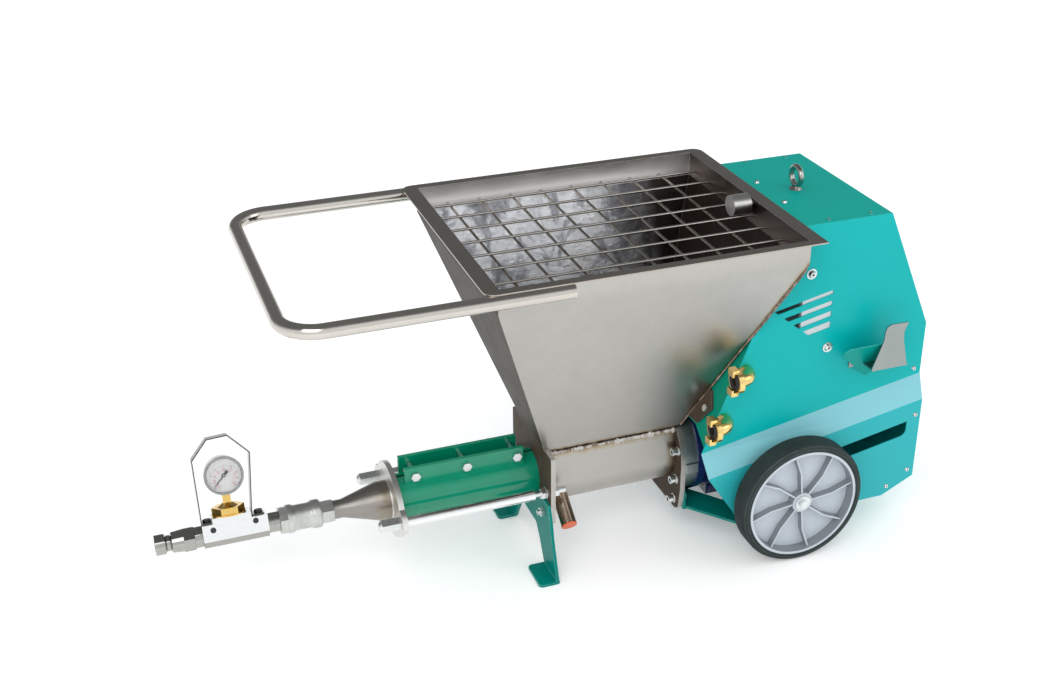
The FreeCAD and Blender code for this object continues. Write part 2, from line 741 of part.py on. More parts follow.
def frame_bolts():
    """Cap screws of the rear flange, and the hex bolts that hold the front stand."""
    pieces = []
    for y, z in flange_bolt_places():
        seat = V(TROUGH_REAR_X, y, z)
        pieces.append(bolt(seat, -X_DIR, FLANGE_BOLT_R, FLANGE_T + RING_LENGTH - BOLT_END_GAP, "cap"))
    for side in (-1, 1):
        seat = V(TROUGH_REAR_X, side * TAIL_BOLT_Y, TAIL_BOLT_Z)
        grip = FLANGE_T + BASE_T + NUT_T * FLANGE_BOLT_R
        pieces.append(bolt(seat, -X_DIR, FLANGE_BOLT_R, grip, "cap"))
        back = V(FLANGE_REAR_X + BASE_T, side * TAIL_BOLT_Y, TAIL_BOLT_Z)
        pieces.append(nut(back, X_DIR, FLANGE_BOLT_R))
        seat = V(TROUGH_FRONT_X, side * STAND_BOLT_Y, STAND_BOLT_Z)
        pieces.append(bolt(seat, X_DIR, STAND_BOLT_R, FRONT_PLATE_T + STAND_T + STAND_BOLT_PAST))
        front = V(PLATE_FRONT_X - STAND_T, side * STAND_BOLT_Y, STAND_BOLT_Z)
        pieces.append(nut(front, -X_DIR, STAND_BOLT_R))
    return group(pieces)


def adaptor_ring():
    """The ring between flange and gear unit, with the key plate on its left side."""
    span = (FLANGE_REAR_X, RING_REAR_X)
    holes = [x_bar(*span, FLANGE_BOLT_R + RUN_GAP, y=y, z=z) for y, z in flange_bolt_places()]
    ring = cut(x_bar(*span, RING_R, RING_R - RING_WALL), holes)
    low, high = CLIP_SPAN_Z
    clip = block(span, (-RING_R - CLIP_PROUD, 0), (PUMP_Z + low, PUMP_Z + high))
    return group([ring, clip.cut(x_bar(*span, RING_R))])


def front_stand():
    """One plate with two splayed legs, whose ends are bent forward as feet."""
    front_x = PLATE_FRONT_X - STAND_T
    leg = prism(STAND_HALF, "yz", front_x, PLATE_FRONT_X)
    foot = block((PLATE_FRONT_X - FOOT_REACH, PLATE_FRONT_X), FOOT_SPAN_Y, (0, FOOT_T))
    foot = rounded(foot, FOOT_CORNER_R, Z_DIR, lambda point: point.x < front_x)
    side = leg.fuse(foot)
    stand = fused([side, mirrored(side)])
    stand = rounded(stand, FOOT_T, Y_DIR, lambda point: point.z < FOOT_T / 2 and point.x > front_x)
    holes = [x_bar(front_x, PLATE_FRONT_X, STATOR_R + HOLE_GAP)]
    for way in (-1, 1):
        holes.append(x_bar(front_x, PLATE_FRONT_X, STAND_BOLT_R + HOLE_GAP, y=way * STAND_BOLT_Y,
                           z=STAND_BOLT_Z))
    half_channel = STATOR_R + STAND_CHANNEL_MARGIN
    holes.append(block((front_x, PLATE_FRONT_X), (-half_channel, half_channel),
                       (PUMP_Z - STAND_CHANNEL, PUMP_Z)))
    return cut(stand, holes)


def clamp_bolt_places():
    first = OUTLET_REAR_X + CLAMP_END_GAPS[0] + CLAMP_BOLT_INSETS[0]
    last = PLATE_FRONT_X - CLAMP_END_GAPS[1] - CLAMP_BOLT_INSETS[1]
    return [first, (first + last) / 2, last]


def stator_casing():
    """A slit tube with two clamp bars along the slit."""
    span = (OUTLET_REAR_X, PLATE_FRONT_X)
    lining_r = STATOR_R - STATOR_WALL
    bar_span = (OUTLET_REAR_X + CLAMP_END_GAPS[0], PLATE_FRONT_X - CLAMP_END_GAPS[1])
    ears = []
    for side in (-1, 1):
        y = sorted((side * CLAMP_BAR_Y, side * (CLAMP_BAR_Y - CLAMP_BAR_T)))
        ears.append(block(bar_span, y, (PUMP_Z + lining_r / 2, CLAMP_BAR_TOP_Z)))
    casing = fused([x_bar(*span, STATOR_R)] + ears)
    slit = block(span, (-CLAMP_SLIT / 2, CLAMP_SLIT / 2), (PUMP_Z, PUMP_Z + STATOR_R))
    holes = [x_bar(*span, lining_r), slit]
    for x in clamp_bolt_places():
        holes.append(bar(V(x, -CLAMP_BAR_Y, CLAMP_BOLT_Z), V(x, CLAMP_BAR_Y, CLAMP_BOLT_Z),
                         CLAMP_BOLT_R + HOLE_GAP))
    return cut(casing, holes)


def clamp_bolts():
    pieces = []
    grip = 2 * CLAMP_BAR_Y + (NUT_T + BOLT_PAST_NUT) * CLAMP_BOLT_R
    for x in clamp_bolt_places():
        pieces.append(bolt(V(x, -CLAMP_BAR_Y, CLAMP_BOLT_Z), -Y_DIR, CLAMP_BOLT_R, grip))
        pieces.append(nut(V(x, CLAMP_BAR_Y, CLAMP_BOLT_Z), Y_DIR, CLAMP_BOLT_R))
    return group(pieces)


def closed_section(points, x):
    """A closed polygon across the pump line, from (y, z) points."""
    corners = [V(x, y, z) for y, z in points]
    return Part.makePolygon(corners + corners[:1])


def turned_points(points, turn):
    """Points (across, up) turned about the pump axis, as (y, z)."""
    cosine, sine = math.cos(turn), math.sin(turn)
    return [(up * sine - across * cosine, PUMP_Z + up * cosine + across * sine) for across, up in points]


def slot_section(radius, half_reach):
    """A long hole with round ends, drawn round the true curve so that it never cuts inside it."""
    points = []
    outer_r = radius / math.cos(math.pi / ROTOR_SIDES)
    for end in (1, -1):
        for step in range(ROTOR_SIDES // 2 + 1):
            angle = math.pi * step / (ROTOR_SIDES // 2) + (0 if end > 0 else math.pi)
            across, up = outer_r * math.cos(angle), outer_r * math.sin(angle)
            points.append((across, up + end * half_reach))
    return points


def stations(start_x, end_x, pitch):
    """Places along a screw, close enough together for its turn."""
    count = max(2, math.ceil(abs(end_x - start_x) / pitch * STATIONS_PER_TURN)) + 1
    return [start_x + (end_x - start_x) * index / (count - 1) for index in range(count)]


def stator_rubber():
    """The lining, with a two-start hole whose pitch is twice the rotor's."""
    lining = x_bar(OUTLET_REAR_X, PLATE_FRONT_X, STATOR_R - STATOR_WALL)
    section = slot_section(ROTOR_R + ROTOR_CLEARANCE, 2 * ECCENTRICITY)
    wires = []
    for x in stations(OUTLET_REAR_X - HOLE_OVERRUN, PLATE_FRONT_X + HOLE_OVERRUN, 2 * ROTOR_PITCH):
        turn = math.pi * (x - OUTLET_REAR_X) / ROTOR_PITCH
        wires.append(closed_section(turned_points(section, turn), x))
    return lining.cut(Part.makeLoft(wires, True, True))


def rotor_axis_z():
    """At rest the rotor's own axis lies straight above the pump axis."""
    return PUMP_Z + ECCENTRICITY


def rotor():
    """A single-start round-section screw with a cylindrical head and a socket for the rod."""
    circle = []
    for step in range(ROTOR_SIDES):
        angle = 2 * math.pi * step / ROTOR_SIDES
        circle.append((ROTOR_R * math.cos(angle), ROTOR_R * math.sin(angle)))
    wires = []
    for x in stations(OUTLET_REAR_X + ROTOR_END_GAP, PLATE_FRONT_X, ROTOR_PITCH):
        turn = 2 * math.pi * (x - OUTLET_REAR_X) / ROTOR_PITCH
        middle_y = ECCENTRICITY * math.sin(turn)
        middle_z = rotor_axis_z() + ECCENTRICITY * math.cos(turn)
        wires.append(closed_section([(middle_y + across, middle_z + up) for across, up in circle], x))
    screw = Part.makeLoft(wires, True, True)
    head_end = PLATE_FRONT_X + ROTOR_HEAD_LENGTH
    head = x_bar(PLATE_FRONT_X, head_end, ROTOR_R - HEAD_STEP, z=rotor_axis_z())
    socket = x_bar(head_end - socket_depth(), head_end, ROD_BALL_R + FREE_GAP, z=rotor_axis_z())
    return screw.fuse(head).cut(socket)


def socket_depth():
    """Of the sockets that take the connecting rod's balls."""
    return 2 * BALL_DEPTH - HEAD_STEP


def ball_places():
    """The connecting rod's ball centres: in the rotor head and in the drive shaft."""
    rotor_ball = V(PLATE_FRONT_X + ROTOR_HEAD_LENGTH - BALL_DEPTH, 0, rotor_axis_z())
    shaft_ball = V(SHAFT_END_X + BALL_DEPTH, 0, PUMP_Z)
    return rotor_ball, shaft_ball


def connecting_rod():
    """A rod with a ball at each end, turned about its own axis."""
    start, end = ball_places()
    run = end.sub(start)
    neck = math.sqrt(ROD_BALL_R ** 2 - ROD_R ** 2)
    far = run.Length
    lower = Part.Arc(V(0, 0, -ROD_BALL_R), V(ROD_BALL_R, 0, 0), V(ROD_R, 0, neck)).toShape()
    upper = Part.Arc(V(ROD_R, 0, far - neck), V(ROD_BALL_R, 0, far), V(0, 0, far + ROD_BALL_R)).toShape()
    side = Part.makeLine(V(ROD_R, 0, neck), V(ROD_R, 0, far - neck))
    middle = Part.makeLine(V(0, 0, far + ROD_BALL_R), V(0, 0, -ROD_BALL_R))
    rod = Part.Face(Part.Wire([lower, side, upper, middle])).revolve(V(0, 0, 0), Z_DIR, 360)
    rod.Placement = FreeCAD.Placement(start, FreeCAD.Rotation(Z_DIR, run))
    return rod


def drive_shaft():
    """The shaft through the seal, with flat paddles that push the mix towards the stator."""
    pieces = [x_bar(SHAFT_END_X, RING_REAR_X + SHAFT_IN_GEAR, DRIVE_SHAFT_R)]
    for index, x in enumerate(PADDLE_PLACES):
        blade = block((-PADDLE_T / 2, PADDLE_T / 2), (-PADDLE_WIDTH / 2, PADDLE_WIDTH / 2),
                      (0, PADDLE_R))
        blade.rotate(V(0, 0, 0), Z_DIR, PADDLE_PITCH_ANGLE)
        blade.rotate(V(0, 0, 0), X_DIR, 90 * index)
        blade.translate(V(x, 0, PUMP_Z))
        pieces.append(blade)
    socket = x_bar(SHAFT_END_X, SHAFT_END_X + socket_depth() + HEAD_STEP, ROD_BALL_R + FREE_GAP)
    return fused(pieces).cut(socket)


def shaft_seal():
    return x_bar(TROUGH_REAR_X - SEAL_PROUD, FLANGE_REAR_X, SEAL_R, DRIVE_SHAFT_R + RUN_GAP)


def tie_rods():
    start = OUTLET_FRONT_X - LONG_NUT_BORE
    end = TROUGH_FRONT_X + ROD_REAR_REACH
    return both_sides(x_bar(start, end, TIE_ROD_R, y=TIE_ROD_Y))


def rod_sleeves():
    end = PLATE_FRONT_X - ROD_WASHER_T - ROD_NUT_T - ROD_BARE
    return both_sides(x_bar(OUTLET_REAR_X, end, SLEEVE_R, TIE_ROD_R + HOLE_GAP, y=TIE_ROD_Y))


def rod_nuts():
    """A washer and a nut on each face of the front plate, and the long domed nuts."""
    bore = TIE_ROD_R + RUN_GAP
    y = TIE_ROD_Y
    front = PLATE_FRONT_X - ROD_WASHER_T
    rear = TROUGH_FRONT_X + ROD_WASHER_T
    pieces = [x_bar(front, PLATE_FRONT_X, ROD_WASHER_R, bore, y=y),
              x_hexagon(front - ROD_NUT_T, front, ROD_NUT_FLATS, bore, y=y),
              x_bar(TROUGH_FRONT_X, rear, ROD_WASHER_R, bore, y=y),
              x_hexagon(rear, rear + ROD_NUT_T, ROD_NUT_FLATS, bore, y=y)]
    dome_x = OUTLET_FRONT_X - LONG_NUT_LENGTH + LONG_NUT_DOME
    dome_r = LONG_NUT_FLATS / 2
    dome = Part.makeCone(dome_r, dome_r / 2, LONG_NUT_DOME, V(dome_x, y, PUMP_Z), -X_DIR)
    thread = x_bar(OUTLET_FRONT_X - LONG_NUT_BORE, OUTLET_FRONT_X, bore, y=y)
    pieces.append(x_hexagon(dome_x, OUTLET_FRONT_X, LONG_NUT_FLATS, y=y).fuse(dome).cut(thread))
    return both_sides(group(pieces))


def outlet_cone():
    """The oval outlet flange with its cone and neck, welded into one."""
    y, r = OVAL_TIP_Y, OVAL_TIP_R
    arcs = []
    for side in (1, -1):
        top = Part.Arc(V(0, -side * y, side * r), V(0, 0, side * OVAL_HALF_HEIGHT),
                       V(0, side * y, side * r))
        tip = Part.Arc(V(0, side * y, side * r), V(0, side * (y + r), 0), V(0, side * y, -side * r))
        arcs += [top.toShape(), tip.toShape()]
    plate = Part.Face(Part.Wire(arcs)).extrude(V(OUTLET_T, 0, 0))
    plate.translate(V(OUTLET_FRONT_X, 0, PUMP_Z))
    inner_neck = NECK_R - PIPE_WALL
    inner_rim = CONE_RIM_R - PIPE_WALL
    cone = turned([(OUTLET_FRONT_X, 0), (OUTLET_FRONT_X, CONE_RIM_R), (CONE_RIM_X, CONE_RIM_R),
                   (NECK_X, NECK_R), (UNION_REAR_X, NECK_R), (UNION_REAR_X, 0)])
    hollow = turned([(OUTLET_REAR_X, 0), (OUTLET_REAR_X, inner_rim), (CONE_RIM_X, inner_rim),
                     (NECK_X, inner_neck), (UNION_REAR_X, inner_neck), (UNION_REAR_X, 0)])
    holes = [hollow]
    for side in (-1, 1):
        holes.append(x_bar(OUTLET_FRONT_X, OUTLET_REAR_X, TIE_ROD_R + HOLE_GAP, y=side * TIE_ROD_Y))
    return cut(fused([plate, cone]), holes)


def union_nut():
    return x_hexagon(UNION_FRONT_X, UNION_REAR_X, UNION_NUT_FLATS, PIPE_BORE_R)


def swivel_body():
    """The waisted half of the union, which turns against the nut."""
    rear = UNION_FRONT_X - FREE_GAP
    hex_length, hex_flats = SWIVEL_HEX
    front = SWIVEL_FRONT_X + hex_length
    step = SWIVEL_R - SWIVEL_WAIST_R
    waist = [(rear, PIPE_BORE_R), (rear, UNION_SEAT_R), (rear - step, SWIVEL_R),
             (rear - hex_length, SWIVEL_R), (rear - hex_length - 2 * step, SWIVEL_WAIST_R),
             (front + hex_length, SWIVEL_WAIST_R), (front + hex_length - 2 * step, SWIVEL_R),
             (front, SWIVEL_R), (front, PIPE_BORE_R)]
    return turned(waist).fuse(x_hexagon(SWIVEL_FRONT_X, front, hex_flats, PIPE_BORE_R))


def nipples():
    """The threaded nipples at both ends of the gauge block."""
    rear = x_bar(BLOCK_REAR_X, SWIVEL_FRONT_X, NECK_R + NIPPLE_STEPS[0], PIPE_BORE_R)
    front = x_bar(CAM_HEX_REAR_X, BLOCK_FRONT_X, NECK_R + NIPPLE_STEPS[1], PIPE_BORE_R)
    return group([rear, front])


def leaned(shape):
    """Lean a manifold piece, modelled upright, back about the pump axis."""
    copy = shape.copy()
    copy.rotate(V(0, 0, PUMP_Z), X_DIR, MANIFOLD_LEAN)
    return copy


def gauge_block():
    """A milled block with bevelled lower edges and a raised crown for the gauge."""
    d, low = BLOCK_HALF_DEPTH, PUMP_Z - BLOCK_LOW
    section = [(-d, low + BLOCK_BEVEL_RISE), (-d + BLOCK_BEVEL, low), (d - BLOCK_BEVEL, low),
               (d, low + BLOCK_BEVEL_RISE), (d, PUMP_Z + BLOCK_SHOULDER), (-d, PUMP_Z + BLOCK_SHOULDER)]
    body = prism(section, "yz", BLOCK_FRONT_X, BLOCK_REAR_X)
    crown = block((BLOCK_FRONT_X + CROWN_INSETS[0], BLOCK_REAR_X - CROWN_INSETS[1]), (-d, d),
                  (PUMP_Z + BLOCK_SHOULDER, PUMP_Z + BLOCK_CROWN))
    bore = x_bar(BLOCK_FRONT_X, BLOCK_REAR_X, PIPE_BORE_R)
    port = bar(V(GAUGE_X, 0, PUMP_Z), V(GAUGE_X, 0, PUMP_Z + BLOCK_CROWN), GAUGE_PORT_R)
    return leaned(cut(fused([body, crown]), [bore, port]))


def guard_bolt_places():
    return [BLOCK_FRONT_X + GUARD_BOLT_INSETS[0], BLOCK_REAR_X - GUARD_BOLT_INSETS[1]]


def manifold_screws():
    """Two plugs in the block's front face and the two guard bolts."""
    pieces = []
    for end, (along, up) in zip((BLOCK_FRONT_X, BLOCK_REAR_X), PLUG_PLACES):
        seat = V(end + along, -BLOCK_HALF_DEPTH, PUMP_Z + up)
        pieces.append(bar(seat, seat - Y_DIR * PLUG_T, PLUG_R))
    for x in guard_bolt_places():
        seat = V(x, 0, PUMP_Z + BLOCK_SHOULDER + GUARD_T)
        pieces.append(bolt(seat, Z_DIR, GUARD_BOLT_R, GUARD_T))
    return leaned(group(pieces))


def gauge_guard():
    """A flat strap bent over the gauge, with a foot at each end."""
    base = PUMP_Z + BLOCK_SHOULDER
    front, rear = BLOCK_FRONT_X, BLOCK_REAR_X
    rise, inset = GUARD_RISE, GUARD_INSETS
    line = [(front + inset[0], base), (front, base), (front, base + rise[0]),
            (front + inset[1], base + rise[1]), (rear - inset[2], base + rise[2]),
            (rear - inset[3], base + rise[3]), (rear - inset[4], base + GUARD_T),
            (rear - inset[5], base + GUARD_T)]
    strap = prism(bent(line, -GUARD_T), "xz", -GUARD_HALF_WIDTH, GUARD_HALF_WIDTH)
    holes = [bar(V(x, 0, base), V(x, 0, base + GUARD_T), GUARD_BOLT_R + HOLE_GAP)
             for x in guard_bolt_places()]
    return leaned(cut(strap, holes))


def gauge_fitting():
    """The diaphragm seal's washer, its six-sided brass base and the stem to the gauge."""
    base = PUMP_Z + BLOCK_CROWN
    top = base + SEAL_WASHER_T
    hex_top = top + SEAL_BASE_T
    washer = bar(V(GAUGE_X, 0, base), V(GAUGE_X, 0, top), SEAL_WASHER_R, GAUGE_PORT_R)
    body = hexagon(V(GAUGE_X, 0, top), V(GAUGE_X, 0, hex_top), SEAL_BASE_FLATS)
    dome = Part.makeCone(SEAL_DOME_R, STEM_R, SEAL_DOME_T, V(GAUGE_X, 0, hex_top), Z_DIR)
    stem_top = PUMP_Z + GAUGE_RISE - GAUGE_R + CASE_STEP
    stem = block((GAUGE_X - STEM_R, GAUGE_X + STEM_R), (-STEM_R, STEM_R), (hex_top, stem_top))
    return leaned(group([washer, fused([body, dome, stem]).cut(gauge_case_blank())]))


def gauge_point(y):
    return V(GAUGE_X, y, PUMP_Z + GAUGE_RISE)


def gauge_case_blank():
    return bar(gauge_point(GAUGE_FACE_Y + BEZEL_T), gauge_point(GAUGE_BACK_Y), GAUGE_R - CASE_STEP)


def gauge_case():
    """The round case and its wider bezel ring, hollow in front for the dial."""
    face = gauge_point(GAUGE_FACE_Y)
    bezel = bar(face, gauge_point(GAUGE_FACE_Y + BEZEL_T), GAUGE_R)
    recess = bar(face, gauge_point(GAUGE_FACE_Y + DIAL_RECESS + DIAL_T), GAUGE_R - BEZEL_WALL)
    return leaned(fused([gauge_case_blank(), bezel]).cut(recess))


def gauge_dial():
    back = GAUGE_FACE_Y + DIAL_RECESS + DIAL_T
    dial = bar(gauge_point(back), gauge_point(back - DIAL_T), GAUGE_R - BEZEL_WALL - RUN_GAP)
    pivot = bar(gauge_point(back - DIAL_T), gauge_point(back - DIAL_T - PIVOT_LENGTH), PIVOT_R)
    return leaned(dial.fuse(pivot))


def gauge_pointer():
    """A needle with a counterweight, on the pivot in the middle of the dial."""
    rear = GAUGE_FACE_Y + DIAL_RECESS - PIVOT_LENGTH + FREE_GAP / 3
    front = rear - NEEDLE_T
    half = NEEDLE_T / 2
    outline = [(-3 * half, 0), (-half, NEEDLE_TIP), (half, NEEDLE_TIP), (3 * half, 0),
               (NEEDLE_HUB_R - half, -NEEDLE_TAIL), (half - NEEDLE_HUB_R, -NEEDLE_TAIL)]
    middle = gauge_point(0)
    needle = prism([(x + middle.x, z + middle.z) for x, z in outline], "xz", front, rear)
    hub = bar(gauge_point(front), gauge_point(rear), NEEDLE_HUB_R)
    needle = fused([needle, hub]).cut(bar(gauge_point(front), gauge_point(rear), PIVOT_R + RUN_GAP))
    needle.rotate(middle, Y_DIR, NEEDLE_REST)
    return leaned(needle)


def gauge_glass():
    front = GAUGE_FACE_Y + GLASS_INSET
    return leaned(bar(gauge_point(front), gauge_point(front + GLASS_T), GAUGE_R - BEZEL_WALL - RUN_GAP))


def camlock_adaptor():
    """Hexagon, body, cam groove and tip of the male hose coupling."""
    slope = CAM_GROOVE_DEPTH * 0.75
    groove_r = CAM_TIP_R - CAM_GROOVE_DEPTH
    profile = [(CAM_HEX_FRONT_X, PIPE_BORE_R), (CAM_HEX_FRONT_X, CAM_TIP_R + CAM_SWELL),
               (CAM_GROOVE_X, CAM_TIP_R), (CAM_GROOVE_X - slope, groove_r),
               (CAM_TIP_REAR_X + slope, groove_r), (CAM_TIP_REAR_X, CAM_TIP_R),
               (TIP_X, CAM_TIP_R), (TIP_X, PIPE_BORE_R)]
    hexagonal = x_hexagon(CAM_HEX_FRONT_X, CAM_HEX_REAR_X, CAM_HEX_FLATS, PIPE_BORE_R)
    return turned(profile).fuse(hexagonal)


def elbow(place, axis_point, axis, angle, radius):
    """A quarter bend, or another angle, of a round bar that ends at a place."""
    centre_line = place.sub(axis_point)
    across = axis.cross(centre_line)
    ring = Part.Face(Part.Wire(Part.makeCircle(radius, place, across)))
    return ring.revolve(axis_point, axis, angle)


def handle_bar(radius):
    """The handle's outer or inner form: two side tubes, two bends and the cross tube."""
    y = BAND_HALF_WIDTH + HANDLE_R
    z = RIM_TOP_Z - HOPPER_SHEET - HANDLE_R
    bend_x = HANDLE_CROSS_X + HANDLE_BEND_R
    inner_y = y - HANDLE_BEND_R
    pieces = [bar(V(HANDLE_CROSS_X, -inner_y, z), V(HANDLE_CROSS_X, inner_y, z), radius)]
    for side in (-1, 1):
        pieces.append(bar(V(HANDLE_END_X, side * y, z), V(bend_x, side * y, z), radius))
        pieces.append(elbow(V(bend_x, side * y, z), V(bend_x, side * inner_y, z), Z_DIR, side * 90, radius))
    return fused(pieces)


def push_handle():
    """One tube bent twice, welded under the rim along both side walls."""
    return handle_bar(HANDLE_R).cut(handle_bar(HANDLE_R - HANDLE_WALL))


def wire_steps(pitch):
    return [pitch * (index - (WIRES_EACH_WAY - 1) / 2) for index in range(WIRES_EACH_WAY)]


def safety_grid():
    """Long wires laid on cross wires, both reaching from wall to wall."""
    front, rear = BAND_FRONT_X + HOPPER_SHEET, BAND_REAR_X - HOPPER_SHEET
    half_width = BAND_HALF_WIDTH - HOPPER_SHEET
    middle = (front + rear) / 2 - GRID_SHIFT
    wires = [x_bar(front, rear, WIRE_R, y=y, z=WIRE_Z) for y in wire_steps(WIRE_PITCH_Y)]
    low = WIRE_Z - 2 * WIRE_R
    for step in wire_steps(WIRE_PITCH_X):
        x = middle + step
        wires.append(bar(V(x, -half_width, low), V(x, half_width, low), WIRE_R))
    return group(wires)


def grid_stop():
    """Pin welded to the rear wall, collar pushed over it and the collar's set screw."""
    z = WIRE_Z + WIRE_R + STOP_COLLAR_R
    wall_x = BAND_REAR_X - HOPPER_SHEET
    collar_rear = wall_x - STOP_STANDOFF
    collar_front = collar_rear - STOP_COLLAR_LENGTH
    pin = x_bar(collar_front, wall_x, STOP_PIN_R, y=STOP_Y, z=z)
    turn = math.radians(STOP_SCREW_ANGLE)
    aside = V(0, -math.sin(turn), -math.cos(turn))
    centre = V((collar_front + collar_rear) / 2, STOP_Y, z)
    hole = bar(centre, centre + aside * (STOP_COLLAR_R + STOP_SCREW_R), STOP_SCREW_R)
    screw = bar(centre, centre + aside * STOP_COLLAR_R, STOP_SCREW_R).cut(pin)
    collar = x_bar(collar_front, collar_rear, STOP_COLLAR_R, STOP_PIN_R, y=STOP_Y, z=z).cut(hole)
    return group([pin, collar, screw])


def hopper_brackets():
    """Tabs from the hopper's rear corners to the front cover, with their bolts."""
    low = COVER_GAP - BRACKET_T
    points = [V(hopper_rear_x(z) + low, y, z) for y, z in BRACKET_OUTLINE]
    tab = Part.Face(Part.makePolygon(points + points[:1])).extrude(V(BRACKET_T, 0, 0))
    tab = tab.cut(hopper_block())
    tab = max(tab.Solids, key=lambda solid: solid.Volume)
    slope = V(hopper_rear_x(1) - hopper_rear_x(0), 0, 1).normalize()
    away = V(-slope.z, 0, slope.x)
    seat = V(hopper_rear_x(BRACKET_BOLT_Z) + low, BRACKET_BOLT_Y, BRACKET_BOLT_Z)
    screw = bolt(seat, away, PANEL_BOLT_R, BRACKET_T * slope.z)
    reach = away * (2 * BRACKET_T)
    shank_hole = bar(seat + reach, seat - reach, PANEL_BOLT_R + RUN_GAP)
    return both_sides(group([tab.cut(shank_hole), screw]))


def house_outline():
    """The housing seen from its left side, clockwise from the top front corner."""
    top_front = hopper_rear_x(HOUSE_TOP_Z) + FRONT_EDGE_SETBACK
    low_front = hopper_rear_x(FRONT_EDGE_LOW_Z) - FRONT_EDGE_REACH
    return [(top_front, HOUSE_TOP_Z), (HOUSE_TOP_REAR_X, HOUSE_TOP_Z), (HOUSE_REAR_X, REAR_BEND_Z),
            (HOUSE_REAR_X, REAR_LOW_Z), (TAIL_REAR_X, HOUSE_FLOOR_Z), (BELLY_FRONT_X, HOUSE_FLOOR_Z),
            (BELLY_BEND_X, BELLY_BEND_Z), (NOSE_X, NOSE_Z), (low_front, FRONT_EDGE_LOW_Z)]


def side_line():
    """Half of the housing's cross-section above the axle, from the top down."""
    return [(UPPER_HALF_WIDTH, HOUSE_TOP_Z + AXLE_Z), (UPPER_HALF_WIDTH, BAND_LINE_TOP),
            (LOWER_HALF_WIDTH, BAND_LINE_LOW), (LOWER_HALF_WIDTH, -AXLE_Z / 2)]


def carried(points):
    """A cross-section carried along X past both ends, climbing with the band line."""
    start = NOSE_X - SPARE
    run = HOUSE_REAR_X - NOSE_X + 2 * SPARE
    corners = [V(start, y, z + start * BAND_LINE_SLOPE) for y, z in points]
    face = Part.Face(Part.makePolygon(corners + corners[:1]))
    return face.extrude(V(run, 0, run * BAND_LINE_SLOPE))


def between_panels():
    """The room between the two side sheets."""
    line = offset(side_line(), -PANEL_SHEET)
    return carried(line + [(-y, z) for y, z in line[::-1]])


def side_skin(inset=0.0):
    """The right side sheet, or a second sheet lying inside it, before trimming."""
    outer = offset(side_line(), -inset) if inset else side_line()
    return carried(bent(outer, -PANEL_SHEET))


def hole(seat, away, radius):
    """A hole for a fastener, from in front of its seat to well behind the sheets."""
    return bar(seat + away, seat - away * SCREW_DEPTH, radius + RUN_GAP)


def screw_holes():
    """Holes for every panel fastener of the right side."""
    holes = []
    for half_width, places, radius in ((UPPER_HALF_WIDTH, UPPER_SCREWS, SCREW_R),
                                       (LOWER_HALF_WIDTH, LOWER_SCREWS, SCREW_R),
                                       (UPPER_HALF_WIDTH, PANEL_BOLTS, PANEL_BOLT_R)):
        holes += [hole(V(x, half_width, z), Y_DIR, radius) for x, z in places]
    return holes


def top_holes():
    holes = []
    for x, inset in TOP_SCREWS:
        for side in (-1, 1):
            holes.append(hole(V(x, side * (UPPER_HALF_WIDTH - inset), HOUSE_TOP_Z), Z_DIR, SCREW_R))
    return holes


def vent_slots(half_width):
    """Air slots that grow downwards, cut off on the left along one slanting line."""
    slots = []
    for index in range(VENT_COUNT):
        top = VENT_TOP_Z - index * VENT_PITCH
        height = VENT_HEIGHT + index * VENT_GROWTH
        corners = []
        for z in (top, top - height):
            right = (VENT_RIGHT_X, z)
            left = crossing(right, (0, z - VENT_RIGHT_X * VENT_SLOPE), *VENT_LEFT)
            corners += [left, right] if z == top else [right, left]
        slots.append(prism(corners, "xz", half_width - 2 * PANEL_SHEET, half_width + PANEL_SHEET))
    return slots


def long_slot(half_width):
    """The long opening above the wheel, with one round corner at its lower rear end."""
    x0, x1 = LONG_SLOT
    low, high = LONG_SLOT_LOW_Z, LONG_SLOT_LOW_Z + LONG_SLOT_HEIGHT
    climb = LONG_SLOT_SLOPE * (x1 - x0)
    corners = [(x0, low), (x1, low + climb), (x1, high + climb), (x0, high)]
    slot = prism(corners, "xz", half_width - 2 * PANEL_SHEET, half_width + PANEL_SHEET)
    middle = low + climb + LONG_SLOT_HEIGHT / 2
    return rounded(slot, LONG_SLOT_CORNER_R, Y_DIR,
                   lambda point: point.x > (x0 + x1) / 2 and point.z < middle)


def right_side_panel():
    """One sheet bent twice along the light band, with air slots and a folded top edge."""
    outline = house_outline()
    skin = side_skin().common(prism(outline, "xz", 0, 2 * LOWER_HALF_WIDTH))
    inner = UPPER_HALF_WIDTH - PANEL_SHEET
    lip_top = HOUSE_TOP_Z - PANEL_SHEET
    x0, x1 = outline[0][0], outline[1][0]
    lip = block((x0 + TOP_LIP_INSETS[0], x1 - TOP_LIP_INSETS[1]),
                (inner - TOP_LIP, inner + PANEL_SHEET / 2), (lip_top - PANEL_SHEET, lip_top))
    skin = skin.cut(block((x0, x1), (0, inner), (lip_top, HOUSE_TOP_Z)))
    panel = fused([skin, lip])
    axle_hole = bar(V(0, INNER_HALF_WIDTH, AXLE_Z), V(0, LOWER_HALF_WIDTH, AXLE_Z),
                    AXLE_R + SHOULDER_STEP)
    tools = screw_holes() + vent_slots(UPPER_HALF_WIDTH) + top_holes()
    return cut(panel, tools + [long_slot(LOWER_HALF_WIDTH), axle_hole])


def left_side_panel():
    return mirrored(right_side_panel())


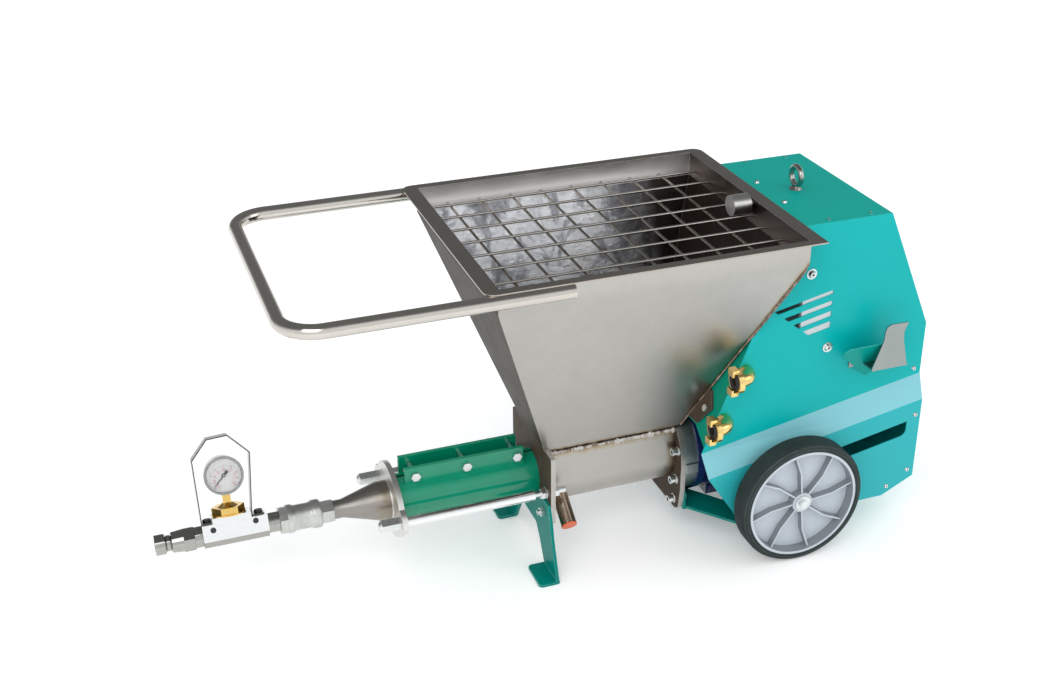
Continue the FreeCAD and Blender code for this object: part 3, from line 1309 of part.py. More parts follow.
def house_wall(edges, lips=True):
    """Sheet along some edges of the housing outline, with lips behind the side panels."""
    outline = house_outline()
    inner = offset(outline, -PANEL_SHEET, closed=True)
    deep = offset(outline, -PANEL_SHEET - LIP_WIDTH, closed=True)
    room = between_panels()
    liner = side_skin(PANEL_SHEET)
    wide = 2 * LOWER_HALF_WIDTH
    pieces = []
    for edge in edges:
        after = (edge + 1) % len(outline)
        sheet = prism([outline[edge], outline[after], inner[after], inner[edge]], "xz", -wide, wide)
        pieces.append(sheet.common(room))
        if lips:
            rim = prism([inner[edge], inner[after], deep[after], deep[edge]], "xz", 0, wide)
            lip = rim.common(liner)
            pieces += [lip, mirrored(lip)]
    return fused(pieces)


def rear_cover():
    cover = house_wall([1, 2])
    tools = screw_holes()
    tools += [mirrored(tool) for tool in tools]
    normal = rear_slope()[1]
    for place, radius in control_holes():
        tools.append(bar(place - normal * SPINDLE_LENGTH, place + normal * PANEL_SHEET, radius))
    return cut(cover, tools)


def bottom_tray():
    """The bent floor behind the axle plates, up to the rear cover."""
    wide = 2 * LOWER_HALF_WIDTH
    tray = house_wall([3, 4]).common(block((AXLE_PLATE_X[1], HOUSE_REAR_X), (-wide, wide), (0, AXLE_Z)))
    tools = screw_holes()
    tools += [mirrored(tool) for tool in tools]
    return cut(tray, tools)


def top_panel():
    panel = house_wall([0], lips=False)
    return cut(panel, top_holes() + [hole(V(EYE_X, 0, HOUSE_TOP_Z), Z_DIR, EYE_SHANK_R)])


def front_cover():
    """The sheet behind the hopper's rear wall, open below for the drive."""
    top = HOUSE_TOP_Z - PANEL_SHEET
    wide = 2 * LOWER_HALF_WIDTH
    corners = [(hopper_rear_x(z) + COVER_GAP, z) for z in (COVER_CORNER_Z, top)]
    sheet = prism(bent(corners, -PANEL_SHEET), "xz", -wide, wide).common(between_panels())
    sheet = sheet.common(block((NOSE_X - SPARE, HOUSE_REAR_X), (-wide, wide), (0, top)))
    half = [(COVER_OPENING_Y, COVER_LOW_Z), (COVER_CORNER_Y, COVER_CORNER_Z), (COVER_CORNER_Y, AXLE_Z)]
    opening = half + [(-y, z) for y, z in half[::-1]]
    return sheet.cut(prism(opening, "yz", NOSE_X - SPARE, 0))


def panel_screws():
    """Button bolts on wide washers, and the small screws of both sides and the top."""
    pieces = []
    grip = 2 * PANEL_SHEET
    for half_width, places in ((UPPER_HALF_WIDTH, UPPER_SCREWS), (LOWER_HALF_WIDTH, LOWER_SCREWS)):
        for x, z in places:
            pieces.append(bolt(V(x, half_width, z), Y_DIR, SCREW_R, grip, "button"))
    for x, z in PANEL_BOLTS:
        face = V(x, UPPER_HALF_WIDTH, z)
        seat = face + Y_DIR * PANEL_WASHER_T
        pieces.append(bar(face, seat, PANEL_WASHER_R, PANEL_BOLT_R + RUN_GAP))
        pieces.append(bolt(seat, Y_DIR, PANEL_BOLT_R, 2 * grip, "button"))
    for x, inset in TOP_SCREWS:
        pieces.append(bolt(V(x, UPPER_HALF_WIDTH - inset, HOUSE_TOP_Z), Z_DIR, SCREW_R, grip, "button"))
    return both_sides(group(pieces))


def eye_bolt():
    """A lifting eye: collar, ring and shank, with its nut under the top panel."""
    foot = V(EYE_X, 0, HOUSE_TOP_Z)
    shank = bar(foot - Z_DIR * EYE_SHANK_LENGTH, foot, EYE_SHANK_R)
    collar = Part.makeCone(EYE_COLLAR_R, EYE_RING_T + 2, EYE_COLLAR_T, foot, Z_DIR)
    centre = foot + Z_DIR * (EYE_HEIGHT - EYE_RING_R - EYE_RING_T)
    ring = Part.makeTorus(EYE_RING_R, EYE_RING_T, centre, X_DIR)
    below = foot - Z_DIR * PANEL_SHEET
    return group([fused([shank, collar, ring]), nut(below, -Z_DIR, EYE_SHANK_R)])


def holder_bracket():
    """The tool holder's strip, shelf and upright plate, left plain on its face."""
    panel_y = -UPPER_HALF_WIDTH
    plate_y = panel_y - HOLDER_REACH
    strip_x, strip_z = HOLDER_STRIP
    strip = block(strip_x, (panel_y - HOLDER_T, panel_y), strip_z)
    shelf = block((HOLDER_SHELF_X, strip_x[1]), (plate_y, panel_y), (strip_z[1] - HOLDER_T, strip_z[1]))
    plate = prism(HOLDER_PLATE, "xz", plate_y, plate_y + HOLDER_T)
    return fused([strip, shelf, plate])


def holder_scoop():
    """A sheet that leans outwards from the panel, beside the upright plate, as a pocket."""
    points = []
    for x, z in SCOOP_OUTLINE:
        points.append(V(x, -UPPER_HALF_WIDTH - (z - SCOOP_LOW_Z) * SCOOP_LEAN, z))
    behind_face = V(0, 1, SCOOP_LEAN).normalize()
    sheet = Part.Face(Part.makePolygon(points + points[:1])).extrude(behind_face * PANEL_SHEET)
    behind = block((0, HOUSE_REAR_X), (-UPPER_HALF_WIDTH, 0), (0, HOUSE_TOP_Z))
    sheet = cut(sheet, [behind, holder_bracket()])
    return max(sheet.Solids, key=lambda solid: solid.Volume)


def claw_coupling(root_x, face_x, z):
    """An elbow out of the panel that ends in a two-claw coupling face."""
    y = -UPPER_HALF_WIDTH - ELBOW_REACH
    bend_y, bend_x = y + ELBOW_BEND_R, root_x - ELBOW_BEND_R
    base = x_bar(face_x, face_x + COUPLING_BASE_T, COUPLING_BASE_R, y=y, z=z)
    pieces = [base, bar(V(root_x, -UPPER_HALF_WIDTH, z), V(root_x, bend_y, z), ELBOW_R),
              elbow(V(root_x, bend_y, z), V(bend_x, bend_y, z), Z_DIR, -90, ELBOW_R),
              x_bar(face_x, bend_x, ELBOW_R, y=y, z=z)]
    front = face_x - CLAW_LENGTH
    wide = (y - CLAW_HALF_WIDTH, y + CLAW_HALF_WIDTH)
    for side in (-1, 1):
        arm = sorted((z + side * (COUPLING_SEAL_R + 1), z + side * CLAW_R))
        tip = sorted((z + side * CLAW_LIP_R, z + side * CLAW_R))
        pieces.append(block((front, face_x + CLAW_TIP_T), wide, arm))
        pieces.append(block((front, front + CLAW_TIP_T), wide, tip))
    recess = x_bar(face_x, face_x + COUPLING_SEAL_DEPTH, COUPLING_SEAL_R, y=y, z=z)
    way = x_bar(face_x, bend_x, ELBOW_R - ELBOW_WALL, y=y, z=z)
    return cut(fused(pieces), [recess, way])


def water_couplings():
    return group([claw_coupling(*place) for place in COUPLINGS])


def coupling_seals():
    y = -UPPER_HALF_WIDTH - ELBOW_REACH
    return group([x_bar(face_x - COUPLING_SEAL_PROUD, face_x + COUPLING_SEAL_DEPTH,
                        COUPLING_SEAL_R - RUN_GAP, ELBOW_R - ELBOW_WALL, y=y, z=z)
                  for _, face_x, z in COUPLINGS])


def gear_motor():
    """Gear unit with its round flange and foot, and the finned motor behind it."""
    flange_rear = RING_REAR_X + GEAR_FLANGE_T
    w, c = GEAR_HALF_WIDTH, GEAR_HALF_WIDTH - GEAR_CHAMFER
    section = [(y, PUMP_Z + z) for y, z in ((-w, -c), (-c, -w), (c, -w), (w, -c), (w, c), (c, w),
                                            (-c, w), (-w, c))]
    half = GEAR_FOOT_HALF
    gear = fused([x_bar(RING_REAR_X, flange_rear, GEAR_FLANGE_R),
                  prism(section, "yz", flange_rear, GEAR_REAR_X),
                  block((flange_rear + GEAR_FOOT_INSET, GEAR_REAR_X), (-half, half),
                        (HOUSE_FLOOR_Z, PUMP_Z))])
    gear = gear.cut(x_bar(RING_REAR_X, RING_REAR_X + SHAFT_IN_GEAR + RUN_GAP, DRIVE_SHAFT_R + RUN_GAP))
    motor_rear = GEAR_REAR_X + MOTOR_LENGTH
    pieces = [x_bar(GEAR_REAR_X, motor_rear, MOTOR_R - FIN_HEIGHT)]
    for index in range(FIN_COUNT):
        fin = block((GEAR_REAR_X + FIN_INSET, motor_rear), (-FIN_T / 2, FIN_T / 2), (0, MOTOR_R))
        fin.rotate(V(0, 0, 0), X_DIR, 360 / FIN_COUNT * (index + 0.5))
        fin.translate(V(0, 0, PUMP_Z))
        pieces.append(fin)
    fan_cover = x_bar(motor_rear, motor_rear + FAN_COVER_LENGTH, FAN_COVER_R)
    return group([gear, fused(pieces), fan_cover])


def inverter():
    """The frequency inverter, bolted to the inside of the left panel by its side flange."""
    back = -UPPER_HALF_WIDTH + PANEL_SHEET
    front = back + INVERTER_PLATE_T
    body = block(INVERTER_X, (front, front + INVERTER_DEPTH), INVERTER_Z)
    plate_x = (PANEL_BOLTS[0][0] - INVERTER_PLATE_REACH[0], PANEL_BOLTS[1][0] + INVERTER_PLATE_REACH[1])
    plate = block(plate_x, (back, front), INVERTER_Z)
    holes = [bar(V(x, back, z), V(x, front, z), PANEL_BOLT_R + RUN_GAP) for x, z in PANEL_BOLTS]
    return cut(fused([body, plate]), holes)


def base_frame():
    """The bent base plate: front tab, two diagonal arms, floor and upright axle plates."""
    front_x, back_x = FLANGE_REAR_X, AXLE_PLATE_X[1] + FRAME_TAIL
    top = HOUSE_FLOOR_Z
    low = top - BASE_T
    inner = INNER_HALF_WIDTH
    tab_y, tab_rise, tab_corner = FRAME_TAB
    half = [(front_x, tab_y), (front_x + tab_corner, tab_y), (FRAME_SHOULDER_X, inner - FRAME_STEP),
            (FRAME_SHOULDER_X, inner), (back_x, inner)]
    outline = half + [(x, -y) for x, y in half[::-1]]
    plate = prism(outline, "xy", low, top).cut(prism(FRAME_WINDOW, "xy", low, top))
    tab_half = [(tab_y, low), (tab_y, top + tab_rise), (tab_y - tab_corner, top + tab_rise + tab_corner)]
    tab = prism(tab_half + [(-y, z) for y, z in tab_half[::-1]], "yz", front_x, front_x + BASE_T)
    pieces = [plate, tab.cut(x_bar(front_x, front_x + BASE_T, RING_R + 1))]
    half_top, rise = AXLE_PLATE_TOP
    (x0, x1), corner_z = AXLE_PLATE_X, top + AXLE_PLATE_RISE
    upright = [(x0, top), (x1, top), (x1, corner_z), (half_top, AXLE_Z + rise),
               (-half_top, AXLE_Z + rise), (x0, corner_z)]
    holes = []
    for side in (-1, 1):
        y = sorted((side * inner, side * (inner - AXLE_PLATE_T)))
        pieces.append(prism(upright, "xz", *y))
        end = V(0, side * (inner - AXLE_BOSS_LENGTH), AXLE_Z)
        pieces.append(bar(V(0, side * (inner - AXLE_PLATE_T), AXLE_Z), end, AXLE_BOSS_R))
        holes.append(bar(V(0, side * inner, AXLE_Z), end, AXLE_R))
        holes.append(x_bar(front_x, front_x + BASE_T, FLANGE_BOLT_R + HOLE_GAP, y=side * TAIL_BOLT_Y,
                           z=TAIL_BOLT_Z))
    return cut(fused(pieces), holes)


def stub_axles():
    """Stub axles with a shoulder, and the washer and bolt that keep each wheel on."""
    end = HUB_OUTER_Y + FREE_GAP
    axle = bar(V(0, INNER_HALF_WIDTH - AXLE_BOSS_LENGTH, AXLE_Z), V(0, end, AXLE_Z), AXLE_R)
    shoulder = bar(V(0, INNER_HALF_WIDTH, AXLE_Z), V(0, HUB_INNER_Y - FREE_GAP, AXLE_Z),
                   AXLE_R + SHOULDER_STEP - HOLE_GAP)
    face = V(0, end, AXLE_Z)
    seat = face + Y_DIR * WHEEL_WASHER_T
    bore = WHEEL_BOLT_R + RUN_GAP
    thread = bar(face, face - Y_DIR * WHEEL_BOLT_LENGTH, bore)
    washer = bar(face, seat, WHEEL_WASHER_R, bore)
    screw = bolt(seat, Y_DIR, WHEEL_BOLT_R, WHEEL_BOLT_LENGTH)
    return both_sides(group([fused([axle, shoulder]).cut(thread), washer, screw]))


def wheel_turned(profile):
    """A solid turned about the right wheel's axle from (radius, y) points."""
    points = [V(radius, y, AXLE_Z) for radius, y in profile]
    face = Part.Face(Part.makePolygon(points + points[:1]))
    return face.revolve(V(0, 0, AXLE_Z), Y_DIR, 360)


def right_tyre():
    """A solid tyre with a slightly crowned tread and two-step shoulders."""
    y0, y1 = TYRE_INNER_Y, TYRE_INNER_Y + TYRE_WIDTH
    seat, tread, s = TYRE_SEAT_R, WHEEL_R, TYRE_SHOULDER
    half = [(seat, SEAT_INSET), (tread - s, 0), (tread - s / 3, s / 3), (tread, s)]
    return wheel_turned([(r, y0 + y) for r, y in half] + [(r, y1 - y) for r, y in half[::-1]])


def right_rim():
    """A moulded wheel body: outer ring, web, hub and bent ribs on its outer face."""
    y0, y1 = TYRE_INNER_Y + SEAT_INSET, TYRE_INNER_Y + TYRE_WIDTH - SEAT_INSET
    ring_r = TYRE_SEAT_R - RIM_WALL
    web0, web1 = (y0 + y1 - WEB_T) / 2, (y0 + y1 + WEB_T) / 2
    bore_r, draft = AXLE_R + RUN_GAP, WEB_T / 2
    body = wheel_turned([(bore_r, HUB_INNER_Y), (HUB_R, HUB_INNER_Y), (HUB_R + draft, web0),
                         (ring_r, web0), (ring_r, y0), (TYRE_SEAT_R, y0), (TYRE_SEAT_R, y1), (ring_r, y1),
                         (ring_r - draft, web1), (HUB_R, web1), (HUB_R - draft, HUB_OUTER_Y),
                         (bore_r, HUB_OUTER_Y)])
    line = [(HUB_R - draft, 0), ((HUB_R + ring_r) / 2, RIB_BEND), (ring_r, RIB_SWEEP)]
    points = [(x, z + AXLE_Z) for x, z in bent(line, RIB_T)]
    blades = []
    for index in range(WHEEL_RIBS):
        blade = prism(points, "xz", web1, y1 - RIB_INSET)
        blade.rotate(V(0, 0, AXLE_Z), Y_DIR, 360 / WHEEL_RIBS * index)
        blades.append(blade)
    keep = wheel_turned([(0, web1), (ring_r, web1), (ring_r, y1), (0, y1)])
    bore = bar(V(0, HUB_INNER_Y, AXLE_Z), V(0, HUB_OUTER_Y, AXLE_Z), bore_r)
    return fused([body, fused(blades).common(keep)]).cut(bore)


def rear_slope():
    """The top of the rear cover's slope, its outward normal and its way down."""
    down = V(HOUSE_REAR_X - HOUSE_TOP_REAR_X, 0, REAR_BEND_Z - HOUSE_TOP_Z).normalize()
    normal = V(-down.z, 0, down.x)
    return V(HOUSE_TOP_REAR_X, 0, HOUSE_TOP_Z), normal, down


def control_place(y, out=0.0):
    top, normal, down = rear_slope()
    return top + down * CONTROL_DROP + Y_DIR * y + normal * out


def control_prism(y, out, halves, height):
    """A rectangular block standing on the slope, from its half sizes down and across."""
    normal, down = rear_slope()[1:]
    a, b = halves
    place = control_place(y, out)
    corners = [place + down * p + Y_DIR * q for p, q in ((-a, -b), (a, -b), (a, b), (-a, b))]
    return Part.Face(Part.makePolygon(corners + corners[:1])).extrude(normal * height)


def control_holes():
    return [(control_place(SWITCH_Y), SPINDLE_R + RUN_GAP), (control_place(SPEED_Y), SPINDLE_R + RUN_GAP),
            (control_place(STOP_BUTTON_Y), STOP_STEM_R + RUN_GAP)]


def switch_plates():
    """The yellow bases under the main switch and the stop button."""
    normal = rear_slope()[1]
    half = SWITCH_PLATE_HALF
    plate = control_prism(SWITCH_Y, 0, (half, half), SWITCH_PLATE_T)
    plate = rounded(plate, SWITCH_CORNER_R, normal)
    plate = plate.cut(bar(control_place(SWITCH_Y), control_place(SWITCH_Y, SWITCH_PLATE_T),
                          SPINDLE_R + RUN_GAP))
    collar = bar(control_place(STOP_BUTTON_Y), control_place(STOP_BUTTON_Y, SWITCH_PLATE_T),
                 STOP_COLLAR_SEAT_R, STOP_STEM_R + RUN_GAP)
    return group([plate, collar])


def main_switch_knob():
    base = SWITCH_PLATE_T + FREE_GAP
    top = base + SWITCH_DISC_T
    width, height = SWITCH_GRIP
    disc = bar(control_place(SWITCH_Y, base), control_place(SWITCH_Y, top), SWITCH_DISC_R)
    grip = control_prism(SWITCH_Y, top, (SWITCH_DISC_R, width / 2), height)
    spindle = bar(control_place(SWITCH_Y, -SPINDLE_LENGTH), control_place(SWITCH_Y, base), SPINDLE_R)
    return fused([disc, grip, spindle])


def speed_knob():
    normal, down = rear_slope()[1:]
    skirt_r, skirt_t = SPEED_SKIRT
    low_r, high_r, height = SPEED_BODY
    (near, far), width, depth = SPEED_MARK
    skirt = bar(control_place(SPEED_Y, FREE_GAP), control_place(SPEED_Y, skirt_t), skirt_r)
    body = Part.makeCone(low_r, high_r, height, control_place(SPEED_Y, skirt_t), normal)
    spindle = bar(control_place(SPEED_Y, -SPINDLE_LENGTH), control_place(SPEED_Y, FREE_GAP), SPINDLE_R)
    groove = control_prism(SPEED_Y, skirt_t + height - depth, ((far - near) / 2, width / 2), 2 * depth)
    groove.translate(down * (-(near + far) / 2))
    return fused([skirt, body, spindle]).cut(groove)


def stop_button():
    normal = rear_slope()[1]
    base = SWITCH_PLATE_T + STOP_TRAVEL + FREE_GAP
    top = base + STOP_HEAD_T
    head = bar(control_place(STOP_BUTTON_Y, base), control_place(STOP_BUTTON_Y, top), STOP_HEAD_R)
    crown = Part.makeCone(STOP_HEAD_R, *STOP_CROWN, control_place(STOP_BUTTON_Y, top), normal)
    stem = bar(control_place(STOP_BUTTON_Y, -SPINDLE_LENGTH), control_place(STOP_BUTTON_Y, base), STOP_STEM_R)
    return fused([head, crown, stem])


def power_inlet():
    """The appliance inlet on the right panel: flange, collar and three pins in a recess."""
    face = UPPER_HALF_WIDTH
    half, end = INLET_FLANGE_HALF, face + INLET_REACH
    flange = block((INLET_X - half, INLET_X + half), (face, face + INLET_FLANGE_T),
                   (INLET_Z - half, INLET_Z + half))
    flange = rounded(flange, half / 4, Y_DIR)
    collar = bar(V(INLET_X, face + INLET_FLANGE_T, INLET_Z), V(INLET_X, end, INLET_Z), INLET_R)
    recess = bar(V(INLET_X, face + INLET_FLOOR, INLET_Z), V(INLET_X, end, INLET_Z), INLET_R - INLET_WALL)
    pieces = [fused([flange, collar]).cut(recess)]
    for step in range(3):
        angle = math.radians(90 + 120 * step)
        x = INLET_X + INLET_PIN_CIRCLE_R * math.cos(angle)
        z = INLET_Z + INLET_PIN_CIRCLE_R * math.sin(angle)
        pieces.append(bar(V(x, face + INLET_FLOOR, z), V(x, end - INLET_PIN_INSET, z), INLET_PIN_R))
    return fused(pieces)


NODES = {
    "hopper": hopper, "pump_trough": pump_trough, "front_plate": front_plate,
    "rear_flange": rear_flange, "adaptor_ring": adaptor_ring, "frame_bolts": frame_bolts,
    "front_stand": front_stand, "stator_casing": stator_casing, "stator_rubber": stator_rubber,
    "clamp_bolts": clamp_bolts, "tie_rods": tie_rods, "rod_sleeves": rod_sleeves,
    "rod_nuts": rod_nuts, "outlet_cone": outlet_cone, "union_nut": union_nut,
    "swivel_body": swivel_body, "nipples": nipples, "gauge_block": gauge_block,
    "manifold_screws": manifold_screws, "gauge_guard": gauge_guard, "gauge_fitting": gauge_fitting,
    "gauge_case": gauge_case, "gauge_dial": gauge_dial, "gauge_pointer": gauge_pointer,
    "gauge_glass": gauge_glass, "camlock_adaptor": camlock_adaptor, "drain_cap": drain_cap,
    "push_handle": push_handle, "safety_grid": safety_grid, "grid_stop": grid_stop,
    "hopper_brackets": hopper_brackets, "left_side_panel": left_side_panel,
    "right_side_panel": right_side_panel, "top_panel": top_panel, "front_cover": front_cover,
    "rear_cover": rear_cover, "bottom_tray": bottom_tray, "panel_screws": panel_screws,
    "eye_bolt": eye_bolt, "holder_bracket": holder_bracket, "holder_scoop": holder_scoop,
    "water_couplings": water_couplings, "coupling_seals": coupling_seals, "gear_motor": gear_motor,
    "inverter": inverter, "base_frame": base_frame, "stub_axles": stub_axles,
    "right_tyre": right_tyre, "left_tyre": lambda: mirrored(right_tyre()),
    "right_rim": right_rim, "left_rim": lambda: mirrored(right_rim()),
    "drive_shaft": drive_shaft, "connecting_rod": connecting_rod, "rotor": rotor,
    "shaft_seal": shaft_seal, "switch_plates": switch_plates,
    "main_switch_knob": main_switch_knob, "speed_knob": speed_knob, "stop_button": stop_button,
    "power_inlet": power_inlet,
}


def main():
    os.makedirs("parts", exist_ok=True)
    for name, make in NODES.items():
        piece = make().copy()
        piece.translate(V(-MIDDLE_X, 0, 0))
        piece.exportStep("parts/" + name + ".step")


main()
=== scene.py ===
"""Looks of a wheeled grout pump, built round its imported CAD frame. Metres, +Z up, -Y is the left side."""

import json
import math

import bmesh
import bpy
from bpy.props import FloatProperty, FloatVectorProperty, IntProperty, PointerProperty
from mathutils import Matrix, Vector, noise


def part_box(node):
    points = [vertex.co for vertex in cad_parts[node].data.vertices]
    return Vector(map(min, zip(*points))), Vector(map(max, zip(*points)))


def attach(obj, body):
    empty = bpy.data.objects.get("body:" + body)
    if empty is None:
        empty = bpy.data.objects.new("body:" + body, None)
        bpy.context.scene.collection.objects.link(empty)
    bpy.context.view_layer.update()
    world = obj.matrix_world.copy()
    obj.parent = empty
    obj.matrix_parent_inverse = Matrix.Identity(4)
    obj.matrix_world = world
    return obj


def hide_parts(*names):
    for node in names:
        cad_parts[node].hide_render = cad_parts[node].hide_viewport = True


bl_info = {
    "name": "Grout Pump",
    "version": (1, 0, 0),
    "blender": (4, 5, 0),
    "location": "View3D > Sidebar > Grout Pump",
    "description": "Builds the visible pieces and finishes of a wheeled grout pump",
    "category": "Object",
}

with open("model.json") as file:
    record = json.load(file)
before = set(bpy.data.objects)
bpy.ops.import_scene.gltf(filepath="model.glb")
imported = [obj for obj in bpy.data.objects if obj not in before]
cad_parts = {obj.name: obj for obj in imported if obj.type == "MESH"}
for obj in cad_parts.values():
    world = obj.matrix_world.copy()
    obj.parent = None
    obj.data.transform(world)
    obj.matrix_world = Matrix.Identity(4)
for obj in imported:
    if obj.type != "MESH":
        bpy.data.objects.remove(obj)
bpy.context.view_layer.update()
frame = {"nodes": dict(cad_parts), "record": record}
MM = 0.001
PREFIX = "finish_"

# Mesh work: what is merged, what counts as flat, sharp or round, and the sides of a bead.
MERGE_DISTANCE = 0.002 * MM
FLAT_ANGLE = math.radians(0.5)
SHARP_ANGLE = math.radians(30.0)
ROUND_CORNERS = 12
ROUND_ERROR = 0.03
SOCKET_SHARE = 0.56
BEAD_SIDES = 10


def middle(node):
    low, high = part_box(node)
    return (low + high) / 2


AXLE = middle("left_tyre")
PUMP = middle("rod_sleeves")


def at(x, y, z):
    """A place in millimetres: x from the wheel axle, y from the pump axis, z from the ground."""
    return Vector((AXLE.x + x * MM, y * MM, z * MM))


# Sizes of the hopper and the trough in millimetres, placed as for at().
FOOT_FRONT, FOOT_REAR, FOOT_HALF, FOOT_Z = -447.0, -176.0, 62.5, 231.0
KNEE_FRONT, KNEE_REAR, KNEE_HALF, KNEE_Z = -588.0, -30.0, 237.0, 613.5
RIM_TOP_Z = 659.5
RIM_DEPTH = 4.0
MOUTH_DROP = 60.0
TROUGH_R = 62.5
TROUGH_WALL = 1.5

# Welded seams, as pairs of points. The hopper's front corners are folded and have none.
SIDES = (-1, 1)
REAR_CORNERS = [(at(FOOT_REAR, side * FOOT_HALF, FOOT_Z), at(KNEE_REAR, side * KNEE_HALF, KNEE_Z))
                for side in SIDES]
FOOT_SEAMS = [(at(FOOT_FRONT, side * FOOT_HALF, FOOT_Z), at(FOOT_REAR, side * FOOT_HALF, FOOT_Z))
              for side in SIDES]
DRAIN_SEAM = (at(-409, -42, 115), at(-409, -46, 111))
FLANGE_SEAM = (at(-182, -63, 215), at(-182, -50, 112))

# The light band of the side panels: how fast it climbs, and its two edges at the axle.
BAND_SLOPE = 0.1825
BAND_TOP = 263.5 * MM
BAND_LOW = 215.5 * MM

# The point that the housing's screws face away from.
HOUSING_CORE = Vector((AXLE.x, 0, 0.35))

# Where pieces change their finish, in metres.
GUARD_BEND_DROP = 34 * MM
BLOCK_TOP_DROP = 2 * MM
SMALL_SOLID = 25 * MM
TOP_SCREW_DROP = 12 * MM
TOP_SCREW_ROWS = (0.1, 0.166)
CONE_FLANGE = 12 * MM
# Between these distances ahead of the axle the hopper's inner walls fade into painted dark reflection.
REAR_DARK_FROM, REAR_DARK_TO = 0.27, 0.11


def colour_setting(name, description, default):
    return FloatVectorProperty(name=name, description=description, subtype="COLOR", size=3, min=0, max=1,
                               default=default)


def length_setting(name, description, default, low, high):
    """A distance, given here in millimetres."""
    return FloatProperty(name=name, description=description, default=default * MM, min=low * MM,
                         max=high * MM, subtype="DISTANCE", unit="LENGTH")


class PaintSettings(bpy.types.PropertyGroup):
    """Colours of the painted, moulded and metal pieces."""

    housing: colour_setting("Housing", "Powder coat of the side panels", (0.0, 0.470, 0.465))
    # Painted shade: the housing's teal made darker, for the top, the stand, the base, the scoop and the top
    # screws.
    housing_top: colour_setting("Top and frame", "Powder coat of the top, the stand and the base",
                                (0.0, 0.350, 0.295))
    band: colour_setting("Band", "Light band along the side panels", (0.250, 0.620, 0.690))
    side_low: colour_setting("Low side", "Powder coat of the side panels below the band",
                             (0.030, 0.470, 0.500))
    stator: colour_setting("Stator", "Enamel of the stator casing", (0.0, 0.300, 0.165))
    motor: colour_setting("Motor", "Enamel of the gear unit and motor", (0.010, 0.020, 0.110))
    steel: colour_setting("Stainless steel", "Sheet and tube of the hopper", (0.500, 0.480, 0.450))
    zinc: colour_setting("Zinc plate", "Fasteners and rods", (0.780, 0.800, 0.800))
    brass: colour_setting("Brass", "Couplings and gauge fitting", (0.950, 0.670, 0.260))
    wheel: colour_setting("Wheel body", "Moulded plastic of the wheel bodies", (0.600, 0.655, 0.710))
    tyre: colour_setting("Tyre", "Solid rubber of the tyres", (0.034, 0.043, 0.042))
    cap: colour_setting("Drain cap", "Moulded plastic of the drain cap", (0.860, 0.150, 0.042))


class EdgeSettings(bpy.types.PropertyGroup):
    """How far edges are rounded."""

    sheet: length_setting("Hopper edges", "Rounding of the hopper's sheet", 0.6, 0.05, 2)
    share: FloatProperty(
        name="Rounding", description="Width of each rounded edge, as a share of its own", default=1.0,
        min=0.1, max=2.0, subtype="FACTOR")
    steps: IntProperty(
        name="Steps", description="Faces across a rounded edge", default=2, min=1, max=4)


class WeldSettings(bpy.types.PropertyGroup):
    """Size of the weld beads."""

    bead: length_setting("Bead radius", "Radius of a fillet weld", 2.6, 0.5, 6)
    ripple: length_setting("Ripple", "Distance from one ripple of a bead to the next", 2.2, 0.5, 6)


class StageSettings(bpy.types.PropertyGroup):
    """Floor and lamps."""

    floor: colour_setting("Floor", "Colour of the floor", (0.97, 0.97, 0.97))
    lamp: FloatProperty(
        name="Lamp power", description="Power of the large soft lamp", default=34.0, min=0, max=500,
        subtype="POWER", unit="POWER")
    sky: FloatProperty(
        name="Surrounding light", description="Strength of the even light from all sides", default=0.85,
        min=0, max=2, subtype="FACTOR")


def paint():
    return bpy.context.scene.grout_pump_paint


def edges():
    return bpy.context.scene.grout_pump_edges


def welds():
    return bpy.context.scene.grout_pump_welds


class Tree:
    """Adds nodes to a node tree and links them."""

    def __init__(self, tree):
        self.tree = tree

    def add(self, kind, inputs=None, **settings):
        node = self.tree.nodes.new(kind)
        for name, value in settings.items():
            setattr(node, name, value)
        for name, value in (inputs or {}).items():
            self.feed(node.inputs[name], value)
        return node

    def feed(self, socket, value):
        if isinstance(value, bpy.types.NodeSocket):
            self.tree.links.new(value, socket)
        elif hasattr(value, "__len__") and len(value) == 3 and socket.type == "RGBA":
            socket.default_value = (*value, 1.0)
        else:
            socket.default_value = value

    def math(self, operation, *values, clamp=False):
        inputs = dict(enumerate(values))
        return self.add("ShaderNodeMath", inputs, operation=operation, use_clamp=clamp).outputs[0]

    def times(self, first, second):
        return self.math("MULTIPLY", first, second)

    def vector(self, operation, *values):
        node = self.add("ShaderNodeVectorMath", dict(enumerate(values)), operation=operation)
        return node.outputs["Value" if operation in ("DOT_PRODUCT", "DISTANCE") else "Vector"]

    def mix(self, share, first, second, blend="MIX"):
        inputs = {"Factor": share, 6: first, 7: second}
        return self.add("ShaderNodeMix", inputs, data_type="RGBA", blend_type=blend).outputs[2]

    def remap(self, value, low, high, new_low=0.0, new_high=1.0):
        node = self.add("ShaderNodeMapRange", {
            "Value": value, "From Min": low, "From Max": high, "To Min": new_low, "To Max": new_high})
        return node.outputs["Result"]

    def ramp(self, value, stops):
        node = self.add("ShaderNodeValToRGB", {"Fac": value})
        elements = node.color_ramp.elements
        while len(elements) < len(stops):
            elements.new(0.5)
        for element, (place, colour) in zip(elements, stops):
            element.position = place
            element.color = (*colour, 1.0)
        return node.outputs["Color"]

    def place(self):
        return self.add("ShaderNodeTexCoord").outputs["Object"]

    def noise(self, vector, scale, detail, roughness, **more):
        node = self.add("ShaderNodeTexNoise", {
            "Vector": vector, "Scale": scale, "Detail": detail, "Roughness": roughness, **more})
        return node.outputs["Fac"]

    def layered(self, place, scale, ratio, first, second, share):
        """Two noises, each given by its detail and roughness, with a ratio between their scales."""
        near = self.noise(place, scale, *first)
        far = self.noise(place, self.times(scale, ratio), *second)
        return self.math("ADD", self.times(near, share), self.times(far, 1 - share))

    def axis(self, name):
        return self.add("ShaderNodeSeparateXYZ", {"Vector": self.place()}).outputs[name]


